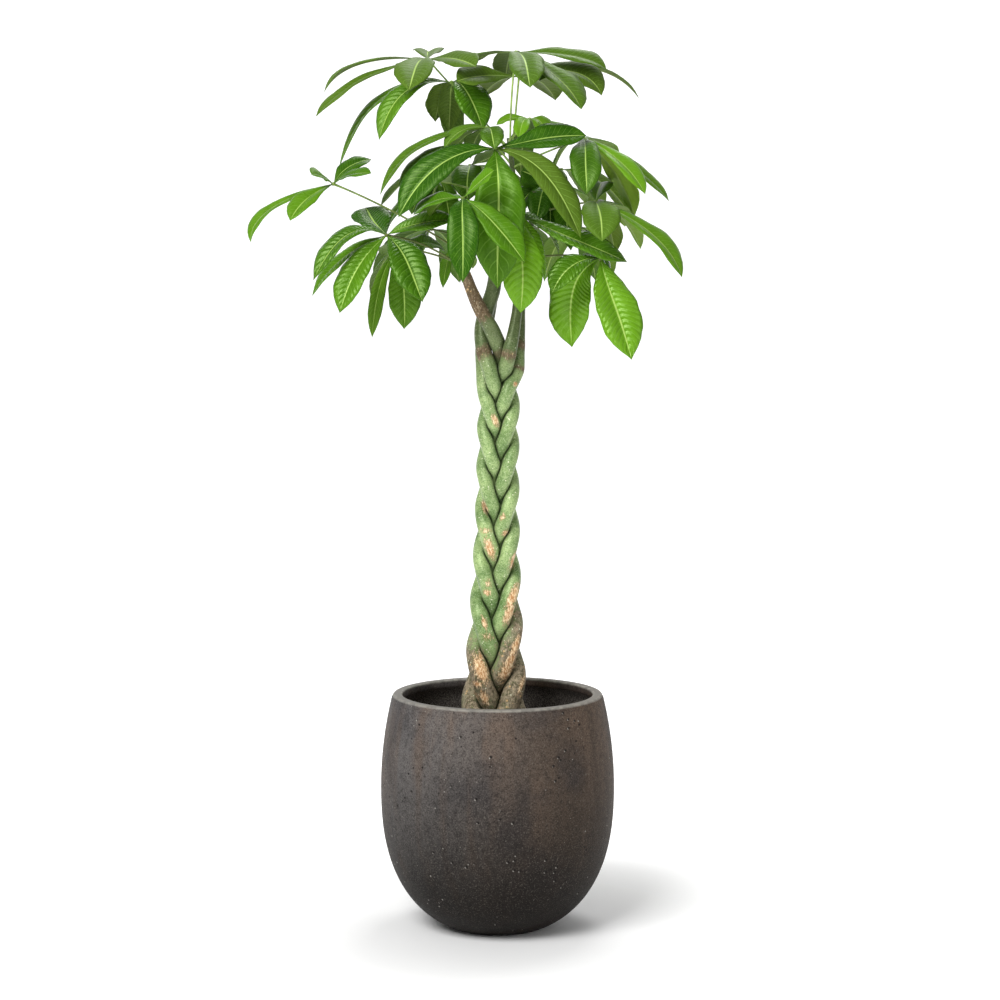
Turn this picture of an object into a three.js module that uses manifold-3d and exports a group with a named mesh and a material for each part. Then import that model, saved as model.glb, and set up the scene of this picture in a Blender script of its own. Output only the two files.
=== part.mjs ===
// Potted money tree: five young stems braided together, each with leafy shoots at its top,
// growing in potting soil in a round-bellied pot of fibre clay.
//
// Millimetres, +Z up. The origin is the middle of the pot's flat bottom and the front faces -Y.
// The pot, the soil, each stem and each leaf is its own solid. A leaf is its stalk, the small
// knob at the stalk's end and the leaflets that spread from it, joined in one body.

import * as THREE from 'three';
import Module from 'manifold-3d';
import { mergeVertices } from 'three/addons/utils/BufferGeometryUtils.js';

const wasm = await Module();
wasm.setup();

// Pot
const POT_HEIGHT = 432;
const BELLY_RADIUS = 215;
const BELLY_HEIGHT = 258;
const FOOT_RADIUS = 88;
const BELLY_POWER = 2.4;
const RIM_RADIUS = 193;
const RIM_WIDTH = 18;
const RIM_EDGE = 5;
const RIM_DEPTH = 15;
const RIM_CHAMFER = 2;
const LIP_SLOPE = 10;
const FLOOR_CORNER = 14;
const POT_WALL = 11;
const POT_FLOOR = 14;
const POT_SIDES = 36;

// Soil
const SOIL_LEVEL = 366;
const SOIL_CROWN = 7;
const SOIL_SHOULDER = 14;
const SOIL_EDGE = 2.3;
const SOIL_EDGE_DROP = 3;
const SOIL_SHOULDER_RISE = 1;
const SOIL_HALF_CROWN_AT = 0.55;
const SOIL_SIDES = 18;
const STEM_DEPTH = 85;
const HOLE_TOP = SOIL_LEVEL + 40;
const SEAT_GAP = 0.3;

// Braid: each stem swings from edge to edge, passing in front on its way to the middle
const STEM_COUNT = 5;
const BRAID_TOP = 990;
const BRAID_REFERENCE = 940;
const BRAID_REFERENCE_ANGLE = 90;
const HALF_STEP_TOP = 35;
const HALF_STEP_BASE = 48.5;
const BRAID_SPAN = 500;
const BRAID_WIDTH_TOP = 80;
const BRAID_FLARE = 44;
const BRAID_FLARE_TOP = 950;
const BRAID_FLARE_SPAN = 530;
const BRAID_FLARE_POWER = 2.2;
const WIDTHS_PER_STEM = 2.94;
const SWING = 0.335;
const SWING_STRAIGHTNESS = 0.97;
const DEPTH_OF_SWING = 0.24;
const DEPTH_STEEPNESS = 0.65;
const LEAN_TOP = 2;
const LEAN_BASE = -5;
const LEAN_FOOT = 450;
const LEAN_SPAN = 500;
const STEM_SIDES = 8;
const LINE_SAMPLES = 400;
const PRESSED_TOP = 1080;
const BRAID_RING_SPACING = 14.5;
const SHOOT_RING_SPACING = 36;
const BURIED_RING_SPACING = 60;
const PRESS_GAP = 4.8;
const PRESS_LEAST_SHARE = 0.3;
const PRESS_HALVINGS = 6;
const LAST_RING_ROOM = 0.995;

// Leaves
const BLADE_THICKNESS = 1.2;
const BLADE_STATIONS = [0.3, 0.61, 0.84];
const BLADE_PROFILE = [0.6, 1, 0.8];
const BLADE_TURN_STEP = 0.03;
const BLADE_ROOT = 2;
const BLADE_ROOT_WIDTH = 3;
const BLADE_FOLD = 14;
const BLADE_REACH = 0.65;
const STALK_ROOT = 3;
const STALK_END = 1.9;
const STALK_SIDES = 5;
const STALK_STEPS = 4;
const KNOB_RADIUS = 6.5;

const degrees = Math.PI / 180;
const vector = (values) => new THREE.Vector3(...values);

// A closed solid through rings of points, with a flat or pointed end at each side.
function loft(rings, tip = null) {
  const sides = rings[0].length;
  const points = rings.flat();
  const faces = [];
  for (let ring = 0; ring < rings.length - 1; ring += 1) {
    for (let side = 0; side < sides; side += 1) {
      const next = (side + 1) % sides;
      const a = ring * sides + side;
      const b = ring * sides + next;
      faces.push(a, b, b + sides, a, b + sides, a + sides);
    }
  }
  for (let side = 1; side < sides - 1; side += 1) {
    faces.push(0, side + 1, side);
  }
  const last = (rings.length - 1) * sides;
  if (tip) {
    points.push(tip);
    for (let side = 0; side < sides; side += 1) {
      faces.push(last + side, last + ((side + 1) % sides), points.length - 1);
    }
  } else {
    for (let side = 1; side < sides - 1; side += 1) {
      faces.push(last, last + side, last + side + 1);
    }
  }
  const geometry = new THREE.BufferGeometry().setFromPoints(points);
  geometry.setIndex(faces);
  return geometry;
}

function toSolid(geometry) {
  const bare = geometry.clone();
  bare.deleteAttribute('normal');
  bare.deleteAttribute('uv');
  const merged = mergeVertices(bare, 1e-4);
  const mesh = new wasm.Mesh({
    numProp: 3,
    vertProperties: Float32Array.from(merged.attributes.position.array),
    triVerts: Uint32Array.from(merged.index.array),
  });
  return new wasm.Manifold(mesh);
}

function toGeometry(solid) {
  const mesh = solid.getMesh();
  const geometry = new THREE.BufferGeometry();
  geometry.setAttribute('position', new THREE.BufferAttribute(mesh.vertProperties, 3));
  geometry.setIndex(new THREE.BufferAttribute(mesh.triVerts, 1));
  return geometry;
}

// The biggest body of a solid, so that a scrap left by a cut is dropped.
function largestBody(solid) {
  return solid.decompose().reduce((best, body) => (body.volume() > best.volume() ? body : best));
}

// Rings of a round section set square to a curve, turned as little as possible along it.
function ringsAlong(curve, stations, sides, radiusAt) {
  const rings = [];
  let normal = new THREE.Vector3(0, -1, 0);
  stations.forEach((at) => {
    const centre = curve.getPoint(at);
    const tangent = curve.getTangent(at);
    normal = normal.clone().addScaledVector(tangent, -normal.dot(tangent)).normalize();
    const across = new THREE.Vector3().crossVectors(tangent, normal);
    const ring = [];
    for (let side = 0; side < sides; side += 1) {
      const angle = (2 * Math.PI * side) / sides;
      const direction = normal.clone().multiplyScalar(Math.cos(angle));
      direction.addScaledVector(across, Math.sin(angle));
      ring.push(centre.clone().addScaledVector(direction, radiusAt(at, centre, direction)));
    }
    rings.push(ring);
  });
  return rings;
}

// Pot outline: a narrow flat foot, a full belly, a drawn-in neck and a rolled rim
// whose inner lip overhangs the wall.
function bellyRadius(height) {
  const footDrop = 1 - (FOOT_RADIUS / BELLY_RADIUS) ** BELLY_POWER;
  const depth = BELLY_HEIGHT / footDrop ** (1 / BELLY_POWER);
  if (height < BELLY_HEIGHT) {
    return BELLY_RADIUS * (1 - ((BELLY_HEIGHT - height) / depth) ** BELLY_POWER) ** (1 / BELLY_POWER);
  }
  const climb = (height - BELLY_HEIGHT) / (POT_HEIGHT - BELLY_HEIGHT);
  return BELLY_RADIUS - (BELLY_RADIUS - RIM_RADIUS) * climb ** 2;
}

const OUTER_LEVELS = [12, 32, 65, 110, 175, 258, 320, 375];
const INNER_LEVELS = [32, 75, 140, 220, 300, 360];
const RIM_OPENING = RIM_RADIUS - RIM_WIDTH;
const RIM_BEVEL = 0.3 * RIM_EDGE;
const LIP_FOOT = POT_HEIGHT - RIM_DEPTH - LIP_SLOPE;

function innerRadius(height) {
  return bellyRadius(height) - POT_WALL;
}

const FLOOR_RADIUS = innerRadius(INNER_LEVELS[0]) - FLOOR_CORNER;

function makePot() {
  const outline = [[0, 0], [FOOT_RADIUS, 0]];
  OUTER_LEVELS.forEach((height) => outline.push([bellyRadius(height), height]));
  outline.push([RIM_RADIUS, POT_HEIGHT - RIM_EDGE]);
  outline.push([RIM_RADIUS - RIM_BEVEL, POT_HEIGHT - RIM_BEVEL]);
  outline.push([RIM_RADIUS - RIM_EDGE, POT_HEIGHT]);
  outline.push([RIM_OPENING + RIM_CHAMFER, POT_HEIGHT]);
  outline.push([RIM_OPENING, POT_HEIGHT - RIM_CHAMFER]);
  outline.push([RIM_OPENING, POT_HEIGHT - RIM_DEPTH]);
  outline.push([innerRadius(LIP_FOOT), LIP_FOOT]);
  [...INNER_LEVELS].reverse().forEach((height) => outline.push([innerRadius(height), height]));
  outline.push([FLOOR_RADIUS, POT_FLOOR], [0, POT_FLOOR]);
  const profile = outline.map(([radius, height]) => new THREE.Vector2(radius, height));
  const pot = new THREE.LatheGeometry(profile, POT_SIDES);
  pot.rotateX(Math.PI / 2);
  return toGeometry(toSolid(pot));
}

// Braid phase in degrees at a height. The half steps grow longer towards the base.
function braidAngle(height) {
  const growth = (HALF_STEP_BASE - HALF_STEP_TOP) / BRAID_SPAN;
  const halfStep = HALF_STEP_TOP + growth * (BRAID_REFERENCE - height);
  return BRAID_REFERENCE_ANGLE + (36 / growth) * Math.log(halfStep / HALF_STEP_TOP);
}

function braidWidth(height) {
  const drop = Math.max(0, (BRAID_FLARE_TOP - height) / BRAID_FLARE_SPAN);
  return BRAID_WIDTH_TOP + BRAID_FLARE * drop ** BRAID_FLARE_POWER;
}

function braidPoint(stem, height) {
  const angle = (braidAngle(height) + (360 / STEM_COUNT) * stem) * degrees;
  const width = braidWidth(height);
  const climb = Math.min(1, (height - LEAN_FOOT) / LEAN_SPAN);
  const lean = LEAN_BASE + (LEAN_TOP - LEAN_BASE) * climb;
  const swing = Math.asin(SWING_STRAIGHTNESS * Math.cos(angle)) / Math.asin(SWING_STRAIGHTNESS);
  const depth = Math.sin(2 * angle);
  const x = lean + SWING * width * swing;
  const y = -DEPTH_OF_SWING * width * Math.sign(depth) * Math.abs(depth) ** DEPTH_STEEPNESS;
  return new THREE.Vector3(x, y, height);
}

// Above the braid each stem goes its own way: x, y, height and radius of each bend.
const STEM_TOPS = [
  [[35, 4, 1026, 14], [37, 12, 1062, 13], [39, 20, 1098, 11.5], [40, 26, 1134, 11],
    [46, 28, 1185, 9.5], [56, 32, 1245, 6.5], [62, 30, 1300, 5], [66, 25, 1350, 3.6]],
  [[13, -14, 1026, 14], [22, -22, 1062, 13], [30, -14, 1098, 11], [35.5, -2, 1134, 9.2],
    [39, 4, 1190, 8.6], [36, 6, 1290, 6], [29, 4, 1370, 5], [20, 0, 1444, 3.8]],
  [[-25, 18, 1026, 14.5], [-27, 30, 1062, 14], [-22, 42, 1098, 13], [-15, 48, 1134, 12.5],
    [-8, 50, 1180, 11.5], [0, 58, 1240, 7], [6, 68, 1300, 5], [10, 78, 1345, 3.6]],
  [[-13, -14, 1026, 14.5], [-25, 2, 1062, 14.5], [-28, 12, 1098, 14.5], [-20, 18, 1134, 14],
    [-8, 14, 1170, 13.5], [-3, 10, 1215, 12], [-6, 6, 1290, 6.5], [-12, 0, 1365, 4.2]],
  [[11, 16, 1026, 14.5], [4, -1, 1062, 14.5], [-10, -14, 1098, 14.5], [-30, -20, 1134, 12.5],
    [-47, -20, 1170, 10.5], [-57, -17, 1197, 9.5], [-66, -13, 1222, 5.5], [-72, -8, 1246, 4]],
];

const BURIED_END = SOIL_LEVEL - STEM_DEPTH;
const BRAID_START = SOIL_LEVEL + SOIL_CROWN + 4;
const BRAID_POINTS = 26;

// A stem stands straight in the soil, joins the braid just above it and leaves it at the top.
function stemPoints(stem) {
  const points = [];
  const foot = braidPoint(stem, BRAID_START);
  const radius = braidWidth(BRAID_START) / WIDTHS_PER_STEM / 2;
  points.push([foot.x, foot.y, BURIED_END, radius]);
  for (let step = 0; step <= BRAID_POINTS; step += 1) {
    const height = BRAID_START + ((BRAID_TOP - BRAID_START) * step) / BRAID_POINTS;
    const point = braidPoint(stem, height);
    points.push([point.x, point.y, height, braidWidth(height) / WIDTHS_PER_STEM / 2]);
  }
  return [...points, ...STEM_TOPS[stem]];
}

// Rings of a stem stand closest where the stems press against each other.
function ringSpacing(height) {
  if (height < SOIL_LEVEL - BURIED_RING_SPACING) {
    return BURIED_RING_SPACING;
  }
  return height < PRESSED_TOP ? BRAID_RING_SPACING : SHOOT_RING_SPACING;
}

// A stem's middle line and its radius, which runs smoothly through the given points.
function stemLine(stem) {
  const points = stemPoints(stem);
  const curve = new THREE.CatmullRomCurve3(points.map(([x, y, z]) => new THREE.Vector3(x, y, z)));
  const radiusAt = (at) => {
    const place = at * (points.length - 1);
    const low = Math.min(Math.floor(place), points.length - 2);
    return points[low][3] + (points[low + 1][3] - points[low][3]) * (place - low);
  };
  const samples = [];
  const stations = [];
  let nextRing = BURIED_END;
  for (let step = 0; step <= LINE_SAMPLES; step += 1) {
    const at = step / LINE_SAMPLES;
    const point = curve.getPoint(at);
    samples.push({ point, radius: radiusAt(at) });
    if (point.z >= nextRing && at < LAST_RING_ROOM) {
      stations.push(at);
      nextRing = point.z + ringSpacing(point.z);
    }
  }
  return { curve, radiusAt, samples, stations: [...stations, 1] };
}

const stemLines = [...Array(STEM_COUNT).keys()].map(stemLine);

function nearestOn(line, point) {
  return line.samples.reduce((best, sample) => (
    sample.point.distanceToSquared(point) < best.point.distanceToSquared(point) ? sample : best));
}

// Where two stems press together, each gives way up to the surface half-way between their
// middle lines.
function pressedRadius(stem, radius, centre, direction, spare) {
  const clear = (reach) => {
    const point = centre.clone().addScaledVector(direction, reach);
    const own = nearestOn(stemLines[stem], point);
    const toOwn = own.point.distanceTo(point);
    return stemLines.every((line, other) => {
      if (other === stem) {
        return true;
      }
      const neighbour = nearestOn(line, point);
      const toOther = neighbour.point.distanceTo(point);
      return toOwn / own.radius < (toOther - PRESS_GAP) / neighbour.radius;
    });
  };
  if (clear(radius)) {
    return radius + spare;
  }
  let low = PRESS_LEAST_SHARE * radius;
  let high = radius;
  for (let halving = 0; halving < PRESS_HALVINGS; halving += 1) {
    const middle = (low + high) / 2;
    if (clear(middle)) {
      low = middle;
    } else {
      high = middle;
    }
  }
  return low + spare;
}

function makeStemGeometry(stem, spare = 0) {
  const { curve, radiusAt, stations } = stemLines[stem];
  const rings = ringsAlong(curve, stations, STEM_SIDES, (at, centre, direction) => (
    pressedRadius(stem, radiusAt(at), centre, direction, spare)));
  return loft(rings);
}

const stemSolids = stemLines.map((line, stem) => toSolid(makeStemGeometry(stem)));

function makeSoil() {
  const outline = [[0, POT_FLOOR + SEAT_GAP]];
  outline.push([FLOOR_RADIUS - 2 * SEAT_GAP, POT_FLOOR + SEAT_GAP]);
  INNER_LEVELS.filter((height) => height < SOIL_LEVEL).forEach((height) => {
    outline.push([innerRadius(height) - 2 * SEAT_GAP, height]);
  });
  const wall = innerRadius(SOIL_LEVEL);
  outline.push([wall - SOIL_EDGE, SOIL_LEVEL - SOIL_EDGE_DROP]);
  outline.push([wall - SOIL_SHOULDER, SOIL_LEVEL + SOIL_SHOULDER_RISE]);
  outline.push([SOIL_HALF_CROWN_AT * wall, SOIL_LEVEL + 0.5 * SOIL_CROWN]);
  outline.push([0, SOIL_LEVEL + SOIL_CROWN]);
  const profile = outline.map(([radius, height]) => new THREE.Vector2(radius, height));
  const soil = new THREE.LatheGeometry(profile, SOIL_SIDES);
  soil.rotateX(Math.PI / 2);
  let solid = toSolid(soil);
  stemLines.forEach((line, stem) => {
    solid = solid.subtract(makeHole(stem));
  });
  return toGeometry(largestBody(solid));
}

// The plain hole that a stem stands in, a little wider and deeper than the stem.
function makeHole(stem) {
  const { curve, radiusAt, stations } = stemLines[stem];
  const low = stations.filter((at) => curve.getPoint(at).z < HOLE_TOP);
  const rings = ringsAlong(curve, low, STEM_SIDES, (at, centre, direction) => (
    pressedRadius(stem, radiusAt(at), centre, direction, 2 * SEAT_GAP)));
  rings[0].forEach((point) => {
    point.z -= SEAT_GAP;
  });
  return toSolid(loft(rings));
}

// Each leaf: the stem that carries it, where its stalk starts inside that stem, how far the
// stalk bows from a straight line, the knob that the leaflets spread from, and the side that
// the leaflets turn their faces to. Each leaflet: its tip from the knob (x, y, z), the rise of
// its arch, then its width, and its reach and roll where they differ from the usual ones.
const LEAVES = {
  leaf_top_left: {
    stem: 1, root: [22, 1, 1424], bow: [0, 110, 4], hub: [-128, 70, 1591], face: [0, -0.1, 1],
    leaflets: [
      [-188, -20, -61, 9, 54, 0.8], [-198, -90, -110, -30, 58],
      [-28, -170, -70, -5, 72], [-2, 150, 27, 26, 60],
      [91, 105, -14, 2, 50, 0.65, -20], [90, -142, -26, -2, 56, 0.65, -25],
    ],
  },
  leaf_left_bright: {
    stem: 1, root: [26, 3, 1396], bow: [0, 30, -10], hub: [-83, 20, 1545], face: [0, -0.5, 1],
    leaflets: [
      [-129, -60, -107, 15, 54, 0.75], [-207, 30, -153, 20, 45, 0.72],
      [-32, 75, -66, 6, 54], [-6, 60, -89, 0, 46], [0, 100, -110, -20, 46],
      [57, -30, -90, 8, 75, 0.5],
    ],
  },
  leaf_left_arching: {
    stem: 1, root: [24, 1, 1412], bow: [0, -10, 10], hub: [-19, -60, 1458], face: [0, -0.5, 1],
    leaflets: [
      [-191, 10, -118, -9, 40, 0.78], [-76, -10, -38, 10, 40], [14, -50, -40, 2, 44], [-70, 110, -44, 0, 44],
      [-30, 40, -52, 0, 52],
    ],
  },
  leaf_crown: {
    stem: 1, root: [23, 0, 1420], bow: [-6, -26, 0], hub: [33, -10, 1596], face: [0, -0.1, 1],
    leaflets: [
      [-91, 90, -17, 8, 48], [24, -150, -75, -8, 66], [115, -90, -108, -38, 80, 0.7],
      [164, 14, -31, 2, 58, 0.78, -25], [-20, 170, -40, 16, 56],
    ],
  },
  leaf_crown_right: {
    stem: 1, root: [25, 5, 1406], bow: [0, 26, 0], hub: [39, 34, 1556], face: [0, -0.15, 1],
    leaflets: [
      [-112, -72, -14, 2, 56, 0.7, 34], [149, -30, -36, 34, 72, 0.78, -25],
      [220, 40, -35, 50, 54, 0.7], [36, -112, -16, 4, 50], [70, 165, -30, 14, 58],
      [-70, 140, -30, 10, 54],
    ],
  },
  leaf_young_right: {
    stem: 1, root: [21, 0, 1438], bow: [6, -4, 6], hub: [58, 8, 1478], face: [0, -0.6, 1],
    leaflets: [
      [-60, 6, -10, 8, 30], [-20, -60, -38, 4, 30], [96, 50, -34, -8, 40],
      [34, -40, -38, 6, 36], [10, 100, -24, 4, 40],
      [-16, 92, -98, -10, 50],
    ],
  },
  leaf_front: {
    stem: 3, root: [-11, 1, 1352], bow: [0, -10, 26], hub: [-4, -90, 1420], face: [0, -0.75, 0.66],
    leaflets: [
      [-170, -40, -122, 6, 68, 0.6], [4, -38, -247, -60, 97, 1.8], [151, -30, -158, -10, 60, 0.63],
      [162, 20, 24, 23, 60, 0.56], [-173, 60, -64, 2, 52, 0.75],
    ],
  },
  leaf_front_low: {
    stem: 3, root: [-6, 6, 1285], bow: [0, 0, -10], hub: [-60, -165, 1330], face: [0, -0.6, 0.8],
    leaflets: [
      [-88, 40, -28, 5, 52], [0, -60, -147, -10, 57, 0.9], [107, -50, -112, -30, 62, 0.5],
      [54, -30, 47, 34, 40], [-60, 90, -30, 10, 44],
    ],
  },
  leaf_right_upper: {
    stem: 1, root: [26, 3, 1390], bow: [0, -6, 6], hub: [155, -20, 1442], face: [0, -0.45, 1],
    leaflets: [
      [155, 20, -111, -54, 50, 0.7], [107, -70, -102, -32, 46], [2, -110, -104, -15, 58, 0.8],
      [96, 60, -136, -44, 62, 0.65, 34], [-62, 30, -88, 4, 64], [60, 140, -50, 10, 54],
    ],
  },
  leaf_right_middle: {
    stem: 0, root: [62, 30, 1305], bow: [0, 0, 10], hub: [175, -60, 1327], face: [0, -0.5, 1],
    leaflets: [
      [7, -120, -72, 0, 70], [153, -30, -134, -46, 53, 0.8], [86, 90, -82, -12, 60],
      [15, 120, 40, 34, 50], [38, 60, -92, -8, 52], [60, 150, -40, 10, 50],
    ],
  },
  leaf_right_low: {
    stem: 0, root: [50, 30, 1226], bow: [0, 0, 14], hub: [183, -80, 1226], face: [0, -0.6, 0.8],
    leaflets: [
      [-87, -60, -62, 8, 54], [-49, 30, -158, -25, 92, 1.3, 50], [54, -50, -178, -56, 80, 0.32],
      [-66, 110, -26, 8, 54],
    ],
  },
  leaf_middle_right: {
    stem: 0, root: [58, 31, 1262], bow: [0, -20, 10], hub: [33, -66, 1305], face: [0, -0.6, 0.8],
    leaflets: [
      [197, -30, -85, -46, 58, 0.56], [8, -30, -175, -60, 74, 2], [52, 20, -120, -20, 46],
      [78, 60, -70, 0, 56], [-36, -14, -84, -10, 44],
    ],
  },
  leaf_left_middle: {
    stem: 4, root: [-62, -14, 1210], bow: [0, 0, 22], hub: [-198, -60, 1268], face: [0, -0.6, 0.8],
    leaflets: [
      [-81, -60, -138, -40, 59], [66, -70, -118, -24, 72, 0.5], [-42, 90, 52, 26, 74],
      [-127, -60, -80, 38, 50, 0.58, -20], [-137, 40, -108, -26, 46], [124, -30, 26, 28, 52, 0.4],
    ],
  },
  leaf_left_inner: {
    stem: 4, root: [-64, -13, 1216], bow: [0, 10, 10], hub: [-184, 50, 1248], face: [0, -0.6, 0.8],
    leaflets: [
      [13, -20, -149, -50, 62, 1.5], [-47, 10, -165, -60, 28, 0.9, 50], [-53, 60, -84, -20, 40],
      [86, 60, -6, 20, 52], [-20, 120, -20, 14, 50],
    ],
  },
  leaf_left_small: {
    stem: 4, root: [-69, -10, 1234], bow: [0, 0, 4], hub: [-80, 50, 1246], face: [0, -0.4, 1],
    leaflets: [
      [-20, -10, -72, -10, 30], [12, 10, -62, -10, 30], [6, 90, -24, 4, 32],
      [34, 80, -36, 4, 34],
    ],
  },
  leaf_far_left: {
    stem: 4, root: [-71, -9, 1243], bow: [0, 0, 14], hub: [-296, -10, 1361], face: [0, -0.5, 1],
    leaflets: [
      [-148, -20, -105, -40, 36, 1.04], [-72, -80, -68, -18, 46], [-37, -30, 15, 15, 52],
      [66, 50, 47, 38, 38, 0.3], [71, -50, 17, 22, 38, 0.4],
    ],
  },
  leaf_inner_left: {
    stem: 3, root: [-10, 3, 1336], bow: [0, 0, 10], hub: [-106, 60, 1367], face: [0, -0.5, 1],
    leaflets: [
      [-50, -50, -60, -4, 46], [20, -30, -80, -4, 46], [-98, 20, -88, -12, 54],
      [-24, 80, -84, 0, 52],
    ],
  },
  leaf_inner_right: {
    stem: 0, root: [65, 26, 1338], bow: [0, 0, 6], hub: [94, 62, 1362], face: [0, -0.6, 0.8],
    leaflets: [
      [-24, -64, -70, -4, 46], [40, -30, -120, -20, 52], [-62, 4, -60, 0, 54],
      [-50, -12, 26, 18, 54, 0.65, 58], [2, -24, -80, -8, 48],
      [70, 90, -30, 8, 48],
    ],
  },
  leaf_back_left: {
    stem: 2, root: [9, 77, 1340], bow: [0, 0, 10], hub: [-52, 160, 1402], face: [0, 0.1, 1],
    leaflets: [
      [-168, 20, -74, 4, 64], [-80, 150, -80, 6, 68], [30, 170, -70, 6, 60],
      [110, 50, -60, 4, 52], [-4, -80, -70, 0, 60],
      [58, -56, 26, 10, 56],
    ],
  },
  leaf_back_right: {
    stem: 2, root: [8, 73, 1322], bow: [0, 0, 6], hub: [120, 190, 1396], face: [0, 0.3, 1],
    leaflets: [
      [140, 40, -100, 0, 54], [80, 150, -80, 6, 56], [-30, 170, -70, 6, 54],
      [-10, -40, -100, -8, 46],
    ],
  },
  leaf_back_low: {
    stem: 2, root: [3, 62, 1265], bow: [0, 0, 6], hub: [0, 220, 1300], face: [0, 0.3, 1],
    leaflets: [
      [0, 170, -100, 0, 58], [-110, 100, -90, 0, 54], [110, 100, -90, 0, 54],
      [-70, -30, -100, -8, 46], [70, -20, -105, -8, 46],
    ],
  },
  leaf_back_far_left: {
    stem: 2, root: [0, 58, 1238], bow: [0, 10, 10], hub: [-124, 170, 1284], face: [0, 0.3, 1],
    leaflets: [
      [-110, 40, -100, 0, 52], [-60, 140, -100, 0, 54], [50, 120, -100, 0, 52],
      [-40, -50, -100, -8, 44],
    ],
  },
  leaf_back_far_right: {
    stem: 0, root: [60, 31, 1280], bow: [0, 10, 10], hub: [150, 160, 1288], face: [0, 0.3, 1],
    leaflets: [
      [64, 90, -104, 0, 52], [40, 150, -100, 0, 54], [-60, 110, -100, 0, 50],
      [60, -40, -110, -8, 46],
    ],
  },
};

// The middle line of a leaflet: out from the knob, over its arch and down to its tip.
function leafletLine(hub, [dx, dy, dz, lift, , reach = BLADE_REACH]) {
  return new THREE.QuadraticBezierCurve3(
    hub.clone(),
    hub.clone().add(new THREE.Vector3(reach * dx, reach * dy, lift)),
    hub.clone().add(new THREE.Vector3(dx, dy, dz)),
  );
}

// A thin blade folded a little along its middle line, widest past half way and pointed.
function makeLeaflet(hub, face, leaflet) {
  const line = leafletLine(hub, leaflet);
  const width = leaflet[4];
  const roll = (leaflet[6] ?? 0) * degrees;
  const half = BLADE_THICKNESS / 2;
  const stations = [BLADE_ROOT / line.getLength(), ...BLADE_STATIONS];
  const widths = [BLADE_ROOT_WIDTH, ...BLADE_PROFILE.map((share) => share * width)];
  let normal = face.clone();
  let before = 0;
  const rings = stations.map((station, index) => {
    for (let at = before; at <= station; at += BLADE_TURN_STEP) {
      const tangent = line.getTangent(at);
      normal = normal.clone().addScaledVector(tangent, -normal.dot(tangent)).normalize();
    }
    before = station;
    const tangent = line.getTangent(station);
    const turned = normal.clone().applyAxisAngle(tangent, roll);
    const across = new THREE.Vector3().crossVectors(tangent, turned);
    const reach = widths[index] / 2;
    const centre = line.getPoint(station);
    const edge = (side) => centre.clone()
      .addScaledVector(across, side * reach * Math.cos(BLADE_FOLD * degrees))
      .addScaledVector(turned, reach * Math.sin(BLADE_FOLD * degrees));
    const lifted = (point, height) => point.clone().addScaledVector(turned, height);
    return [
      lifted(centre, half), lifted(edge(1), half), lifted(edge(1), -half),
      lifted(centre, -half), lifted(edge(-1), -half), lifted(edge(-1), half),
    ];
  });
  return toSolid(loft(rings, line.getPoint(1)));
}

function makeLeaf({ stem, root, bow, hub, face, leaflets }) {
  const start = vector(root);
  const end = vector(hub);
  const middle = start.clone().add(end).multiplyScalar(0.5).add(vector(bow));
  const stalk = new THREE.QuadraticBezierCurve3(start, middle, end);
  const stations = [...Array(STALK_STEPS + 1).keys()].map((step) => step / STALK_STEPS);
  const stalkRings = ringsAlong(stalk, stations, STALK_SIDES, (at) => (
    STALK_ROOT + (STALK_END - STALK_ROOT) * at));
  const knob = new THREE.OctahedronGeometry(KNOB_RADIUS, 0).translate(...hub);
  const turn = vector(face).normalize();
  const blades = leaflets.map((leaflet) => makeLeaflet(end, turn, leaflet));
  const leaf = wasm.Manifold.union([toSolid(loft(stalkRings)), toSolid(knob), ...blades]);
  return toGeometry(largestBody(leaf.subtract(stemCutters[stem])));
}

// Stems a little thicker than they are, which leave the gap at each stalk's root.
const stemCutters = stemLines.map((line, stem) => toSolid(makeStemGeometry(stem, SEAT_GAP)));

const materials = {
  pot: new THREE.MeshStandardMaterial({ color: 0x4a4039, roughness: 0.85, metalness: 0 }),
  soil: new THREE.MeshStandardMaterial({ color: 0x2c221b, roughness: 1, metalness: 0 }),
  bark: new THREE.MeshStandardMaterial({ color: 0x7c9462, roughness: 0.7, metalness: 0 }),
  leaf: new THREE.MeshStandardMaterial({ color: 0x4f8f22, roughness: 0.4, metalness: 0 }),
};

const group = new THREE.Group();

function addPiece(name, geometry, material) {
  const mesh = new THREE.Mesh(geometry, material.clone());
  mesh.name = name;
  group.add(mesh);
}

addPiece('pot', makePot(), materials.pot);
addPiece('soil', makeSoil(), materials.soil);
stemSolids.forEach((solid, stem) => addPiece(`stem_${stem + 1}`, toGeometry(solid), materials.bark));
Object.entries(LEAVES).forEach(([name, leaf]) => addPiece(name, makeLeaf(leaf), materials.leaf));

export default group;
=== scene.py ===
# A braided money tree in a tall round-bellied planter: the planter, the potting soil, five
# stems plaited together and the palmate leaves on their stalks. Metres, +Z up, front -Y.
import math

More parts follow.
